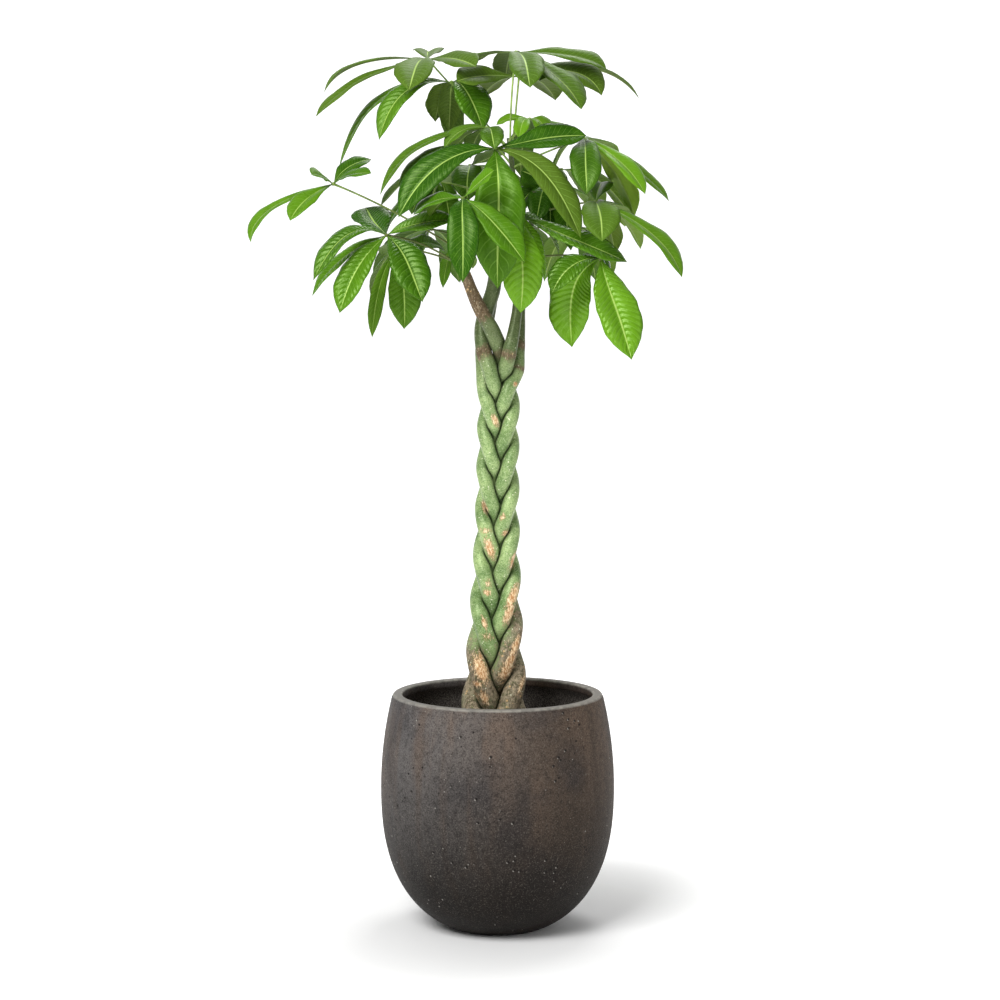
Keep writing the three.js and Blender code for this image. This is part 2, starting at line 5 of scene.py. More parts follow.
import bpy
import numpy as np
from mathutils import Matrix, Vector


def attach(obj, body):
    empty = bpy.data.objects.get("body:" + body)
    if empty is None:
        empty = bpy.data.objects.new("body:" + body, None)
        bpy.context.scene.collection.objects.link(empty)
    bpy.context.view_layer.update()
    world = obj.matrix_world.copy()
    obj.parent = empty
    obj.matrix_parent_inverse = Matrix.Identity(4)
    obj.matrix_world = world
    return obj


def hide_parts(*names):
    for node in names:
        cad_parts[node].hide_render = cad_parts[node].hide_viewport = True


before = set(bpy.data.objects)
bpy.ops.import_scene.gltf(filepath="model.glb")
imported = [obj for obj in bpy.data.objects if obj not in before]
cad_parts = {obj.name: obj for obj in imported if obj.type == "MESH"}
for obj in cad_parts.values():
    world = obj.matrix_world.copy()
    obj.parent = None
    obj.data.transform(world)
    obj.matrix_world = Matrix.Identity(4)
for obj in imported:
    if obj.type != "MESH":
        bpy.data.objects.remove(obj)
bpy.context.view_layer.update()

# The planter is one shell cast in fibre clay: a narrow flat foot, a full belly, a drawn-in
# neck and a flat rim with softened edges, whose inner lip overhangs the wall. It is left
# unglazed, so the fine pits and specks of the casting show.
POT_HEIGHT = 0.432
BELLY_RADIUS = 0.215
BELLY_HEIGHT = 0.258
FOOT_RADIUS = 0.088
BELLY_POWER = 2.4
BELLY_STEPS = 46
CROWDED_TO_FOOT = 1.25
NECK_TOP = POT_HEIGHT - 0.007
RIM_RADIUS = 0.193
RIM_OPENING = 0.175
RIM_DEPTH = 0.015
RIM_EDGE = 0.0045
LIP_EDGE = 0.003
LIP_UNDERCUT = 0.002
LIP_FOOT = POT_HEIGHT - RIM_DEPTH
INSIDE_TOP = LIP_FOOT - 0.010
INSIDE_FOOT = 0.025
INSIDE_STEPS = 24
INSIDE_CORNER = 0.022
POT_WALL = 0.011
POT_FLOOR = 0.014
POT_SIDES = 144
SHARPEST_SMOOTH_EDGE = math.radians(38)


def belly_radius(height):
    """How far the outer wall stands from the axis."""
    if height < BELLY_HEIGHT:
        foot_drop = 1 - (FOOT_RADIUS / BELLY_RADIUS) ** BELLY_POWER
        depth = BELLY_HEIGHT / foot_drop ** (1 / BELLY_POWER)
        below = 1 - ((BELLY_HEIGHT - height) / depth) ** BELLY_POWER
        return BELLY_RADIUS * below ** (1 / BELLY_POWER)
    climb = (height - BELLY_HEIGHT) / (POT_HEIGHT - BELLY_HEIGHT)
    return BELLY_RADIUS - (BELLY_RADIUS - RIM_RADIUS) * climb**2


def rounded_corner(radius, height, size, start, steps):
    """Points of a quarter round about (radius, height), from the angle start onwards."""
    turns = [math.radians(start + 90 * step / steps) for step in range(steps + 1)]
    return [(radius + size * math.cos(turn), height + size * math.sin(turn)) for turn in turns]


outline = [(FOOT_RADIUS, 0.0)]
for step in range(1, BELLY_STEPS + 1):
    level = NECK_TOP * (step / BELLY_STEPS) ** CROWDED_TO_FOOT
    outline.append((belly_radius(level), level))
outline += rounded_corner(RIM_RADIUS - RIM_EDGE, POT_HEIGHT - RIM_EDGE, RIM_EDGE, 0, 5)
outline += rounded_corner(RIM_OPENING + LIP_EDGE, POT_HEIGHT - LIP_EDGE, LIP_EDGE, 90, 4)
outline.append((RIM_OPENING, POT_HEIGHT - 0.8 * RIM_DEPTH))
outline.append((RIM_OPENING + LIP_UNDERCUT, LIP_FOOT))
for step in range(INSIDE_STEPS + 1):
    level = INSIDE_TOP - (INSIDE_TOP - INSIDE_FOOT) * step / INSIDE_STEPS
    outline.append((belly_radius(level) - POT_WALL, level))
outline.append((outline[-1][0] - INSIDE_CORNER, POT_FLOOR))

bpy.ops.mesh.primitive_circle_add(vertices=POT_SIDES, radius=FOOT_RADIUS, fill_type="NGON")
planter = bpy.context.object
planter.name = "planter"
bpy.ops.object.mode_set(mode="EDIT")
bpy.ops.mesh.select_all(action="SELECT")
for (radius, level), (next_radius, next_level) in zip(outline, outline[1:]):
    bpy.ops.mesh.extrude_region_move(TRANSFORM_OT_translate={"value": (0, 0, next_level - level)})
    share = next_radius / radius
    bpy.ops.transform.resize(value=(share, share, 1), center_override=(0, 0, 0))
bpy.ops.mesh.select_all(action="SELECT")
bpy.ops.mesh.normals_make_consistent(inside=False)
bpy.ops.object.mode_set(mode="OBJECT")
bpy.ops.object.shade_smooth_by_angle(angle=SHARPEST_SMOOTH_EDGE)


def set_input(node, name, value):
    """Sets a node's input to a value, or links it where the value is another node's output."""
    if isinstance(value, bpy.types.NodeSocket):
        node.id_data.links.new(value, node.inputs[name])
    else:
        node.inputs[name].default_value = value


def new_material(name, roughness):
    """A material with its node tree and its one surface shader."""
    material = bpy.data.materials.new(name)
    material.use_nodes = True
    shader = material.node_tree.nodes["Principled BSDF"]
    set_input(shader, "Roughness", roughness)
    return material, material.node_tree, shader


def add_node(tree, kind, settings=None, **inputs):
    """A shader node with its settings, and its inputs set to values or linked."""
    made = tree.nodes.new(kind)
    for setting, value in (settings or {}).items():
        setattr(made, setting, value)
    for name, value in inputs.items():
        set_input(made, name.replace("_", " "), value)
    return made


def math_node(operation, first, second=0.0):
    """A sum of two numbers. Like the helpers below, it stays in the tree of its first input."""
    made = add_node(first.id_data, "ShaderNodeMath", {"operation": operation})
    set_input(made, 0, first)
    set_input(made, 1, second)
    return made.outputs[0]


def times(first, second):
    return math_node("MULTIPLY", first, second)


def minus(first, second):
    return math_node("SUBTRACT", first, second)


def distance_of(place):
    """How far a place is from the origin."""
    made = add_node(place.id_data, "ShaderNodeVectorMath", {"operation": "LENGTH"}, Vector=place)
    return made.outputs["Value"]


def blend_colours(share, first, second):
    """The first colour, turned into the second by share."""
    settings = {"data_type": "RGBA", "clamp_factor": True}
    made = add_node(share.id_data, "ShaderNodeMix", settings)
    for place, value in ((0, share), (6, first), (7, second)):
        set_input(made, place, value)
    return made.outputs[2]


def stained(colour, stain, amount, strength):
    """A colour turned into its stain by the amount, which at 1 counts for the strength."""
    return blend_colours(times(amount, strength), colour, stain)


def ramp_between(value, low, high):
    """0 below low, 1 above high and smooth between, or the other way round if low is higher."""
    smooth = {"interpolation_type": "SMOOTHSTEP"}
    made = add_node(value.id_data, "ShaderNodeMapRange", smooth, From_Min=low, From_Max=high)
    set_input(made, "Value", value)
    return made.outputs[0]


def noise_at(place, scale, detail=3.0, roughness=0.55):
    """Smooth noise from 0 to 1."""
    made = add_node(place.id_data, "ShaderNodeTexNoise", Vector=place, Scale=scale, Detail=detail)
    set_input(made, "Roughness", roughness)
    return made.outputs[0]


def cells_at(place, scale):
    """How far a place is from the middle of its cell, of cells scattered at random."""
    made = add_node(place.id_data, "ShaderNodeTexVoronoi", Vector=place, Scale=scale)
    return made.outputs["Distance"]


def place_on_object(tree, stretch=(1, 1, 1)):
    """Object coordinates, stretched along each axis."""
    coordinates = add_node(tree, "ShaderNodeTexCoord").outputs["Object"]
    return add_node(tree, "ShaderNodeMapping", Vector=coordinates, Scale=stretch).outputs[0]


def set_bump(shader, height, distance, strength, invert=False):
    """Makes a surface look raised by the height."""
    made = add_node(shader.id_data, "ShaderNodeBump", {"invert": invert}, Height=height)
    set_input(made, "Distance", distance)
    set_input(made, "Strength", strength)
    set_input(shader, "Normal", made.outputs[0])


COOL_CLAY = (0.125, 0.116, 0.112, 1)
WARM_CLAY_IN_SHADE = (0.080, 0.056, 0.040, 1)
BROWN_CLAY = (0.135, 0.092, 0.066, 1)
SMOKED_CLAY = (0.026, 0.026, 0.031, 1)
DARK_CLAY_AND_SHADE = (0.006, 0.0045, 0.0035, 1)
PALE_CLAY = (0.300, 0.275, 0.230, 1)
PIT_LIT_SIDE = (0.42, 0.40, 0.36, 1)
PIT_SHADE = (0.008, 0.006, 0.005, 1)
SPECK_COLOUR = (0.46, 0.43, 0.38, 1)
RIM_TOP_PAINTED_LIGHT = (0.25, 0.24, 0.215, 1)
WORN_CLAY = (0.40, 0.38, 0.33, 1)
PIT_SCALE = 70.0
PIT_LIT_OFFSET = (0.0020, 0.0, 0.0014)

fibre_clay, tree, shader = new_material("fibre_clay", 0.62)
set_input(shader, "Specular IOR Level", 0.12)
place = place_on_object(tree)
parts = add_node(tree, "ShaderNodeSeparateXYZ", Vector=place)
grain = noise_at(place, 380.0, 3.0, 0.8)
mottle = noise_at(place, 90.0, 3.0, 0.6)
streaks = noise_at(place_on_object(tree, (24, 24, 2.2)), 1.0)
# The clay turns warmer and darker towards the right. The darkening is partly painted shade, on the side
# turned away from the light.
colour = blend_colours(ramp_between(parts.outputs[0], -0.20, 0.15), COOL_CLAY, WARM_CLAY_IN_SHADE)
colour = stained(colour, BROWN_CLAY, ramp_between(streaks, 0.42, 0.66), 0.55)
smoke = ramp_between(noise_at(place, 7.0, 4.0), 0.44, 0.66)
colour = stained(colour, SMOKED_CLAY, smoke, 0.55)
# Painted shade: the body darkens more and more towards the foot. The same dark colour also marks the
# real mottle and grain below.
colour = stained(colour, DARK_CLAY_AND_SHADE, ramp_between(parts.outputs[2], 0.46, 0.02), 0.94)
colour = stained(colour, DARK_CLAY_AND_SHADE, ramp_between(mottle, 0.54, 0.36), 0.30)
colour = stained(colour, DARK_CLAY_AND_SHADE, ramp_between(grain, 0.50, 0.38), 0.60)
colour = stained(colour, PALE_CLAY, ramp_between(grain, 0.54, 0.70), 0.22)

# The pits are sunk by the bump, and painted as well: painted shade inside each pit, and a painted
# highlight on the side of its rim that faces the light.
pitted = ramp_between(noise_at(place, 24.0, 1.0), 0.53, 0.60)
pit = times(ramp_between(cells_at(place, PIT_SCALE), 0.20, 0.13), pitted)
lit_place = add_node(tree, "ShaderNodeMapping", Vector=place, Location=PIT_LIT_OFFSET).outputs[0]
pit_lit_edge = times(ramp_between(cells_at(lit_place, PIT_SCALE), 0.14, 0.09), pitted)
specked = ramp_between(noise_at(place, 40.0, 1.0), 0.60, 0.66)
speck = times(ramp_between(cells_at(place, 130.0), 0.15, 0.08), specked)
colour = stained(colour, PIT_LIT_SIDE, pit_lit_edge, 0.60)
colour = stained(colour, SPECK_COLOUR, speck, 0.30)
colour = stained(colour, PIT_SHADE, pit, 0.9)

radial = distance_of(place_on_object(tree, (1, 1, 0)))
on_rim = ramp_between(parts.outputs[2], POT_HEIGHT - 0.0050, POT_HEIGHT - 0.0012)
outer_edge = ramp_between(radial, RIM_RADIUS - 0.0065, RIM_RADIUS - 0.0025)
inner_edge = ramp_between(radial, RIM_OPENING + 0.0050, RIM_OPENING + 0.0020)
worn = times(on_rim, math_node("MAXIMUM", outer_edge, inner_edge))
worn = times(worn, ramp_between(mottle, 0.40, 0.62))
# Painted light: the flat top of the rim is made lighter, as it faces up to the light.
colour = stained(colour, RIM_TOP_PAINTED_LIGHT, on_rim, 0.62)
colour = stained(colour, WORN_CLAY, worn, 0.35)
set_input(shader, "Base Color", colour)
set_bump(shader, minus(times(grain, 0.5), pit), 0.0016, 0.8)

shaded_clay, tree, shader = new_material("clay_inside", 0.9)
set_input(shader, "Specular IOR Level", 0.2)
grain = noise_at(place_on_object(tree), 430.0, 3.0, 0.75)
mottle = ramp_between(grain, 0.40, 0.68)
colour = blend_colours(mottle, (0.034, 0.030, 0.026, 1), (0.190, 0.170, 0.150, 1))
set_input(shader, "Base Color", colour)
set_bump(shader, grain, 0.0012, 0.8)
planter.data.materials.append(fibre_clay)
planter.data.materials.append(shaded_clay)
for face in planter.data.polygons:
    spot = face.center
    within_wall = math.hypot(spot.x, spot.y) < belly_radius(spot.z) - POT_WALL / 2
    if within_wall and POT_FLOOR / 2 < spot.z < LIP_FOOT - 0.0005:
        face.material_index = 1
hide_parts("pot")
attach(planter, "root")

# The potting soil fills the planter to below its lip: dark peaty compost, a little mounded
# round the stems, with loose crumbs of bark and peat lying on it.
SOIL_LEVEL = 0.366
SOIL_CROWN = 0.007
SOIL_RADIUS = 0.1945
SOIL_COVER = 0.0012
SOIL_ROUGHNESS = 0.0011
SOIL_RINGS = 22
SOIL_RING_WIDTH = 0.0085
SOIL_CRUMBS = 650
CRUMB_SIZES = (0.0012, 0.0042)
CRUMBS_REACH = 0.185
CRUMB_LIFT = 0.0022


def points_of(piece):
    """The places of a mesh's points, a row for each."""
    values = np.empty(len(piece.data.vertices) * 3)
    piece.data.vertices.foreach_get("co", values)
    return values.reshape(-1, 3)


def set_points(piece, points):
    """Moves a mesh's points to new places."""
    piece.data.vertices.foreach_set("co", points.ravel())


def own_copy(piece):
    """A copy of a piece, with its own mesh."""
    copied = piece.copy()
    copied.data = piece.data.copy()
    bpy.context.collection.objects.link(copied)
    return copied


def join_pieces(pieces):
    """All the pieces joined to the first of them."""
    bpy.ops.object.select_all(action="DESELECT")
    for piece in pieces:
        piece.select_set(True)
    bpy.context.view_layer.objects.active = pieces[0]
    bpy.ops.object.join()
    return pieces[0]


rng = np.random.default_rng(11)
bpy.ops.mesh.primitive_circle_add(
    vertices=72, radius=SOIL_RADIUS, fill_type="NGON", location=(0, 0, SOIL_LEVEL)
)
soil_top = bpy.context.object
soil_top.name = "soil_surface"
bpy.ops.object.transform_apply(location=True, rotation=True, scale=True)
bpy.ops.object.mode_set(mode="EDIT")
bpy.ops.mesh.select_all(action="SELECT")
for ring in range(SOIL_RINGS):
    bpy.ops.mesh.inset(thickness=SOIL_RING_WIDTH, depth=0)
bpy.ops.object.mode_set(mode="OBJECT")
spots = points_of(soil_top)
off_middle = np.hypot(spots[:, 0], spots[:, 1]) / SOIL_RADIUS
spots[:, 2] += (SOIL_CROWN + SOIL_COVER) * (1 - off_middle**2) + SOIL_COVER
spots[:, 2] += rng.normal(0, SOIL_ROUGHNESS, len(spots))
set_points(soil_top, spots)
bpy.ops.object.shade_smooth()

bpy.ops.mesh.primitive_ico_sphere_add(subdivisions=1, radius=1.0)
crumb = bpy.context.object
round_points = points_of(crumb)
crumbs = []
for number in range(SOIL_CRUMBS):
    size = rng.uniform(*CRUMB_SIZES) * np.array([1, rng.uniform(0.5, 1), rng.uniform(0.4, 0.8)])
    distance = CRUMBS_REACH * math.sqrt(rng.uniform(0.01, 1))
    angle = rng.uniform(0, 2 * math.pi)
    turn = rng.uniform(0, 2 * math.pi)
    points = round_points * size * rng.uniform(0.8, 1.2, round_points.shape)
    turned = points.copy()
    turned[:, 0] = points[:, 0] * math.cos(turn) - points[:, 1] * math.sin(turn)
    turned[:, 1] = points[:, 0] * math.sin(turn) + points[:, 1] * math.cos(turn)
    turned += (
        distance * math.cos(angle),
        distance * math.sin(angle),
        SOIL_LEVEL + SOIL_CROWN * (1 - (distance / SOIL_RADIUS) ** 2) + CRUMB_LIFT,
    )
    crumbs.append(own_copy(crumb))
    set_points(crumbs[-1], turned)
bpy.data.objects.remove(crumb)
soil_crumbs = join_pieces(crumbs)
soil_crumbs.name = "soil_crumbs"

compost, tree, shader = new_material("potting_compost", 0.95)
place = place_on_object(tree)
peat = ramp_between(noise_at(place, 220.0), 0.4, 0.65)
bark_bits = ramp_between(noise_at(place, 90.0), 0.62, 0.72)
colour = blend_colours(peat, (0.012, 0.008, 0.006, 1), (0.060, 0.036, 0.022, 1))
colour = blend_colours(bark_bits, colour, (0.13, 0.085, 0.05, 1))
set_input(shader, "Base Color", colour)
set_bump(shader, noise_at(place, 380.0), 0.002, 0.8)
for piece in (soil_top, soil_crumbs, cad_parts["soil"]):
    piece.data.materials.clear()
    piece.data.materials.append(compost)
for piece in (soil_top, soil_crumbs):
    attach(piece, "root")

# The five stems are young trees plaited while they were soft, each swinging from edge to edge
# of the trunk and pressed flat against its neighbours. Above the plait each goes its own way
# as a leafy shoot. The bark is smooth and green, corky and brown at the foot and at old scars.
STEM_COUNT = 5
STEM_DEPTH = 83
STEM_SIDES = 28
STEM_RINGS = 250
BRAID_START = 377
BRAID_TOP = 990
BRAID_POINTS = 26
BRAID_REFERENCE = 940
BRAID_REFERENCE_ANGLE = 90
STEM_SPACING = 360 / STEM_COUNT
HALF_STEP_TOP = 35
HALF_STEP_BASE = 48.5
BRAID_SPAN = 500
BRAID_WIDTH_TOP = 80
BRAID_FLARE = 44
BRAID_FLARE_TOP = 950
BRAID_FLARE_SPAN = 530
BRAID_FLARE_POWER = 2.2
RADII_ACROSS_BRAID = 6.33
SWING = 0.335
SWING_STRAIGHTNESS = 0.97
DEPTH_OF_SWING = 0.24
DEPTH_STEEPNESS = 0.65
LEAN_BASE = -5
LEAN_CHANGE = 7
LEAN_FOOT = 450
LEAN_SPAN = 500
PRESS_LEAST_SHARE = 0.3
PRESS_HALVINGS = 8
PRESS_GAP = 0.7
# Each shoot, from the plait to its tip: x, y, height and radius, in millimetres like all
# that is measured in this section.
STEM_TOPS = [
    [(35, 4, 1026, 14), (37, 12, 1062, 13), (39, 20, 1098, 11.5), (40, 26, 1134, 11),
     (46, 28, 1185, 9.5), (56, 32, 1245, 6.5), (62, 30, 1300, 5), (66, 25, 1350, 3.6)],
    [(13, -14, 1026, 14), (22, -22, 1062, 13), (30, -14, 1098, 11), (35.5, -2, 1134, 9.2),
     (39, 4, 1190, 8.6), (36, 6, 1290, 6), (29, 4, 1370, 5), (20, 0, 1444, 3.8)],
    [(-25, 18, 1026, 14.5), (-27, 30, 1062, 14), (-22, 42, 1098, 13), (-15, 48, 1134, 12.5),
     (-8, 50, 1180, 11.5), (0, 58, 1240, 7), (6, 68, 1300, 5), (10, 78, 1345, 3.6)],
    [(-13, -14, 1026, 14.5), (-25, 2, 1062, 14.5), (-28, 12, 1098, 14.5), (-20, 18, 1134, 14),
     (-8, 14, 1170, 13.5), (-3, 10, 1215, 12), (-6, 6, 1290, 6.5), (-12, 0, 1365, 4.2)],
    [(11, 16, 1026, 14.5), (4, -1, 1062, 14.5), (-10, -14, 1098, 14.5), (-30, -20, 1134, 12.5),
     (-47, -20, 1170, 10.5), (-57, -17, 1197, 9.5), (-66, -13, 1222, 5.5), (-72, -8, 1246, 4)],
]


def braid_width(height):
    """How wide the plait is, from one edge of its swing to the other."""
    flare = max(0.0, (BRAID_FLARE_TOP - height) / BRAID_FLARE_SPAN) ** BRAID_FLARE_POWER
    return BRAID_WIDTH_TOP + BRAID_FLARE * flare


def braid_point(stem, height):
    """Where a stem's middle line goes through a level of the plait."""
    growth = (HALF_STEP_BASE - HALF_STEP_TOP) / BRAID_SPAN
    half_step = HALF_STEP_TOP + growth * (BRAID_REFERENCE - height)
    turn = STEM_SPACING / 2 / growth * math.log(half_step / HALF_STEP_TOP)
    angle = math.radians(BRAID_REFERENCE_ANGLE + turn + STEM_SPACING * stem)
    lean = LEAN_BASE + LEAN_CHANGE * min(1.0, (height - LEAN_FOOT) / LEAN_SPAN)
    width = braid_width(height)
    swing = math.asin(SWING_STRAIGHTNESS * math.cos(angle)) / math.asin(SWING_STRAIGHTNESS)
    depth = math.sin(2 * angle)
    return (
        lean + SWING * width * swing,
        -DEPTH_OF_SWING * width * math.copysign(abs(depth) ** DEPTH_STEEPNESS, depth),
    )


def smooth_line(points, count):
    """Centripetal spline through points with a radius each: positions, directions and radii."""
    knots = np.array(points, float)
    ends = [2 * knots[0] - knots[1], *knots, 2 * knots[-1] - knots[-2]]
    spans = len(points) - 1
    at = np.linspace(0, spans, count)
    low = np.minimum(at.astype(int), spans - 1)
    share = (at - low)[:, None]
    four = np.array(ends)[low[:, None] + np.arange(4)][:, :, :3]
    gaps = np.linalg.norm(np.diff(four, axis=1), axis=2)[:, :, None] ** 0.5
    gap_0, gap_1, gap_2 = np.moveaxis(gaps, 1, 0)
    p0, p1, p2, p3 = np.moveaxis(four, 1, 0)
    out = ((p1 - p0) / gap_0 - (p2 - p0) / (gap_0 + gap_1) + (p2 - p1) / gap_1) * gap_1
    into = ((p2 - p1) / gap_1 - (p3 - p1) / (gap_1 + gap_2) + (p3 - p2) / gap_2) * gap_1
    bend = 2 * p1 - 2 * p2 + out + into
    curl = -3 * p1 + 3 * p2 - 2 * out - into
    places = p1 + out * share + curl * share**2 + bend * share**3
    ways = out + 2 * curl * share + 3 * bend * share**2
    ways /= np.linalg.norm(ways, axis=1)[:, None]
    radii = np.interp(at, np.arange(spans + 1), knots[:, 3])
    return places, ways, radii


stem_lines = []
for stem in range(STEM_COUNT):
    foot = braid_point(stem, BRAID_START)
    foot_radius = braid_width(BRAID_START) / RADII_ACROSS_BRAID
    points = [(*foot, 1000 * SOIL_LEVEL - STEM_DEPTH, foot_radius)]
    for step in range(BRAID_POINTS + 1):
        level = BRAID_START + (BRAID_TOP - BRAID_START) * step / BRAID_POINTS
        radius = braid_width(level) / RADII_ACROSS_BRAID
        points.append((*braid_point(stem, level), level, radius))
    points += STEM_TOPS[stem]
    stem_lines.append(smooth_line(points, STEM_RINGS))


def nearest(line, points):
    """Distance from each point to a stem's middle line, and the stem's radius there."""
    places, _, radii = line
    squares = (places**2).sum(1)[None, :] - 2 * points @ places.T
    index = squares.argmin(1)
    return np.linalg.norm(points - places[index], axis=1), radii[index]


def near_others(stem, points):
    """The same distance and radius, for each of the other stems in turn."""
    return [nearest(line, points) for other, line in enumerate(stem_lines) if other != stem]


def pressed_reach(stem, centres, directions, radii):
    """How far each ray runs before it meets the surface half-way to a neighbouring stem."""
    low = PRESS_LEAST_SHARE * radii
    high = radii.copy()
    reach = high.copy()
    for halving in range(PRESS_HALVINGS):
        points = centres + directions * reach[:, None]
        to_own, own_radius = nearest(stem_lines[stem], points)
        clear = np.ones(len(points), bool)
        for to_other, other_radius in near_others(stem, points):
            clear &= to_own / own_radius < (to_other - PRESS_GAP) / other_radius
        low = np.where(clear, reach, low)
        high = np.where(clear, high, reach)
        reach = (low + high) / 2
    return low


# Peeled and scarred places: x and height on the trunk's front, half-width, half-height and
# how far the bark is gone there.
PEELED_PLACES = [
    (-4, 935, 6, 12, 0.9), (32, 1001, 5, 4, 1.0), (-23, 776, 5, 13, 1.0), (-23, 735, 14, 6, 0.55),
    (-14, 702, 8, 20, 1.0), (14, 730, 6, 6, 1.0), (30, 680, 7, 17, 0.95), (-19, 622, 7, 6, 1.0),
    (-17, 640, 8, 10, 0.5), (27, 612, 9, 24, 1.0), (21, 583, 9, 20, 0.95), (-24, 567, 5, 12, 0.9),
    (-19, 541, 13, 8, 0.55), (33, 524, 7, 18, 1.0), (24, 498, 8, 16, 1.0), (16, 480, 12, 22, 0.9),
    (-30, 482, 12, 24, 1.15), (-36, 455, 10, 5, 1.0), (-24, 430, 7, 13, 1.0),
    (-31, 505, 4, 12, 0.9), (9, 760, 5, 8, 0.7), (44, 452, 5, 22, 0.7), (-38, 430, 5, 10, 0.5),
]
# Rings of old bark on a stem: which stem, height, half-height and depth of tone.
SCAR_RINGS = [
    (3, 1056, 15, 1.0), (1, 1054, 10, 0.9), (0, 1070, 12, 0.9), (0, 1026, 8, 0.8),
    (4, 1062, 12, 0.7), (4, 1142, 26, 1.3), (4, 1185, 26, 0.9), (2, 1085, 20, 0.7),
    (2, 1150, 22, 0.5),
]
SCAR_SWELLING = 0.035
CORK_LEVEL = 496
CORK_FADE = 100
CORK_AGE = 0.85
TRUNK_MIDDLE = -10
# Where stems touch, the seam is painted dark: a narrow line of painted shade with some grime, and a
# wide fade of painted shade. How dark each is, and how far it fades out.
SEAM_SHADE_NEAR = (0.80, 1.4)
SEAM_SHADE_WIDE = (0.52, 7.5)
SAME_PLACE = 0.00002


def grid_of(name, columns, rows):
    """A flat sheet of faces, and the share across and along it at each of its points."""
    bpy.ops.mesh.primitive_grid_add(x_subdivisions=columns, y_subdivisions=rows, size=1, calc_uvs=True)
    sheet = bpy.context.object
    sheet.name = name
    flat = points_of(sheet)
    return sheet, flat[:, 0] + 0.5, flat[:, 1] + 0.5


def keep_values(piece, title, values):
    """Values, one for each point of a piece or the same for all, that its material reads."""
    attribute = piece.data.attributes.new(title, "FLOAT", "POINT")
    filled = np.broadcast_to(np.float32(values), len(piece.data.vertices))
    attribute.data.foreach_set("value", np.ascontiguousarray(filled))


def carried(face, ways):
    """A direction square to a line, carried along the line without twisting."""
    carried_faces = np.empty_like(ways)
    for row, way in enumerate(ways):
        face = face - way * face.dot(way)
        face = face / np.linalg.norm(face)
        carried_faces[row] = face
    return carried_faces


def scars_on(stem, heights, share):
    """How strong the old bark rings of a stem are at each height, with their size shared."""
    strength = np.zeros(len(heights))
    for scarred, level, half, depth in SCAR_RINGS:
        if scarred == stem:
            strength += depth * np.exp(-(((heights - level) / (share * half)) ** 2))
    return strength


def peeled_at(points):
    """How far the bark is peeled off at each point of the trunk's front."""
    peel = np.zeros(len(points))
    front = np.clip(-points[:, 1] / 8 + 0.4, 0, 1)
    for x, level, half_width, half_height, depth in PEELED_PLACES:
        slant = -0.30 if x < 2 else 0.35
        above = points[:, 2] - level
        aside = points[:, 0] - x - slant * above
        far = (aside / half_width) ** 2 + (above / half_height) ** 2
        peel = np.maximum(peel, front * depth * np.exp(-far))
    return peel


bark_stems = []
for stem in range(STEM_COUNT):
    piece, across, along = grid_of(f"bark_stem_{stem + 1}", STEM_SIDES, STEM_RINGS - 1)
    ring = np.rint(along * (STEM_RINGS - 1)).astype(int)
    turn = across * 2 * math.pi
    places, ways, radii = stem_lines[stem]
    normals = carried(np.array([0.0, -1.0, 0.0]), ways)
    sides = np.cross(ways, normals)
    directions = normals[ring] * np.cos(turn)[:, None] + sides[ring] * np.sin(turn)[:, None]
    heights = places[:, 2]
    swelling = 1 + 0.008 * np.sin(heights / 17 + 2 * stem) + 0.006 * np.sin(heights / 7.3)
    swelling += SCAR_SWELLING * scars_on(stem, heights, 0.6)
    reach = pressed_reach(stem, places[ring], directions, (radii * swelling)[ring])
    reach *= 1 + 0.012 * np.sin(3 * turn + heights[ring] / 21 + stem)
    points = places[ring] + directions * reach[:, None]
    set_points(piece, points / 1000)

    off_middle = points[:, 0] - TRUNK_MIDDLE
    cork_top = CORK_LEVEL + off_middle * np.where(off_middle < 0, -1.25, 2.6)
    age = np.clip((cork_top + CORK_FADE / 2 - points[:, 2]) / CORK_FADE, 0, 1)
    age = CORK_AGE * (age + scars_on(stem, heights[ring], 1))
    clearance = np.full(len(points), 100.0)
    for to_other, other_radius in near_others(stem, points):
        clearance = np.minimum(clearance, to_other - other_radius)
    clearance = np.maximum(clearance, 0)
    # Painted shade in the seams where the stems touch, with some grime in the narrow line.
    seam_shade = sum(depth * np.exp(-clearance / width) for depth, width in (SEAM_SHADE_NEAR, SEAM_SHADE_WIDE))
    keep_values(piece, "age", np.clip(age, 0, 1))
    keep_values(piece, "peel", peeled_at(points))
    keep_values(piece, "seam_shade", np.clip(seam_shade, 0, 1))
    bpy.ops.object.mode_set(mode="EDIT")
    bpy.ops.mesh.select_all(action="SELECT")
    bpy.ops.mesh.remove_doubles(threshold=SAME_PLACE)
    bpy.ops.mesh.select_all(action="DESELECT")
    bpy.ops.mesh.select_non_manifold()
    bpy.ops.mesh.fill_holes(sides=0)
    bpy.ops.mesh.select_all(action="SELECT")
    bpy.ops.mesh.normals_make_consistent(inside=False)
    bpy.ops.object.mode_set(mode="OBJECT")
    bpy.ops.object.shade_smooth()
    bark_stems.append(piece)


def plus(first, second):
    return math_node("ADD", first, second)


def kept_values(tree, title):
    """The values that keep_values wrote under this title."""
    return add_node(tree, "ShaderNodeAttribute", {"attribute_name": title}).outputs["Fac"]


def about_middle(value, spread):
    """Noise from 0 to 1, turned into noise to both sides of 0."""
    return times(minus(value, 0.5), spread)


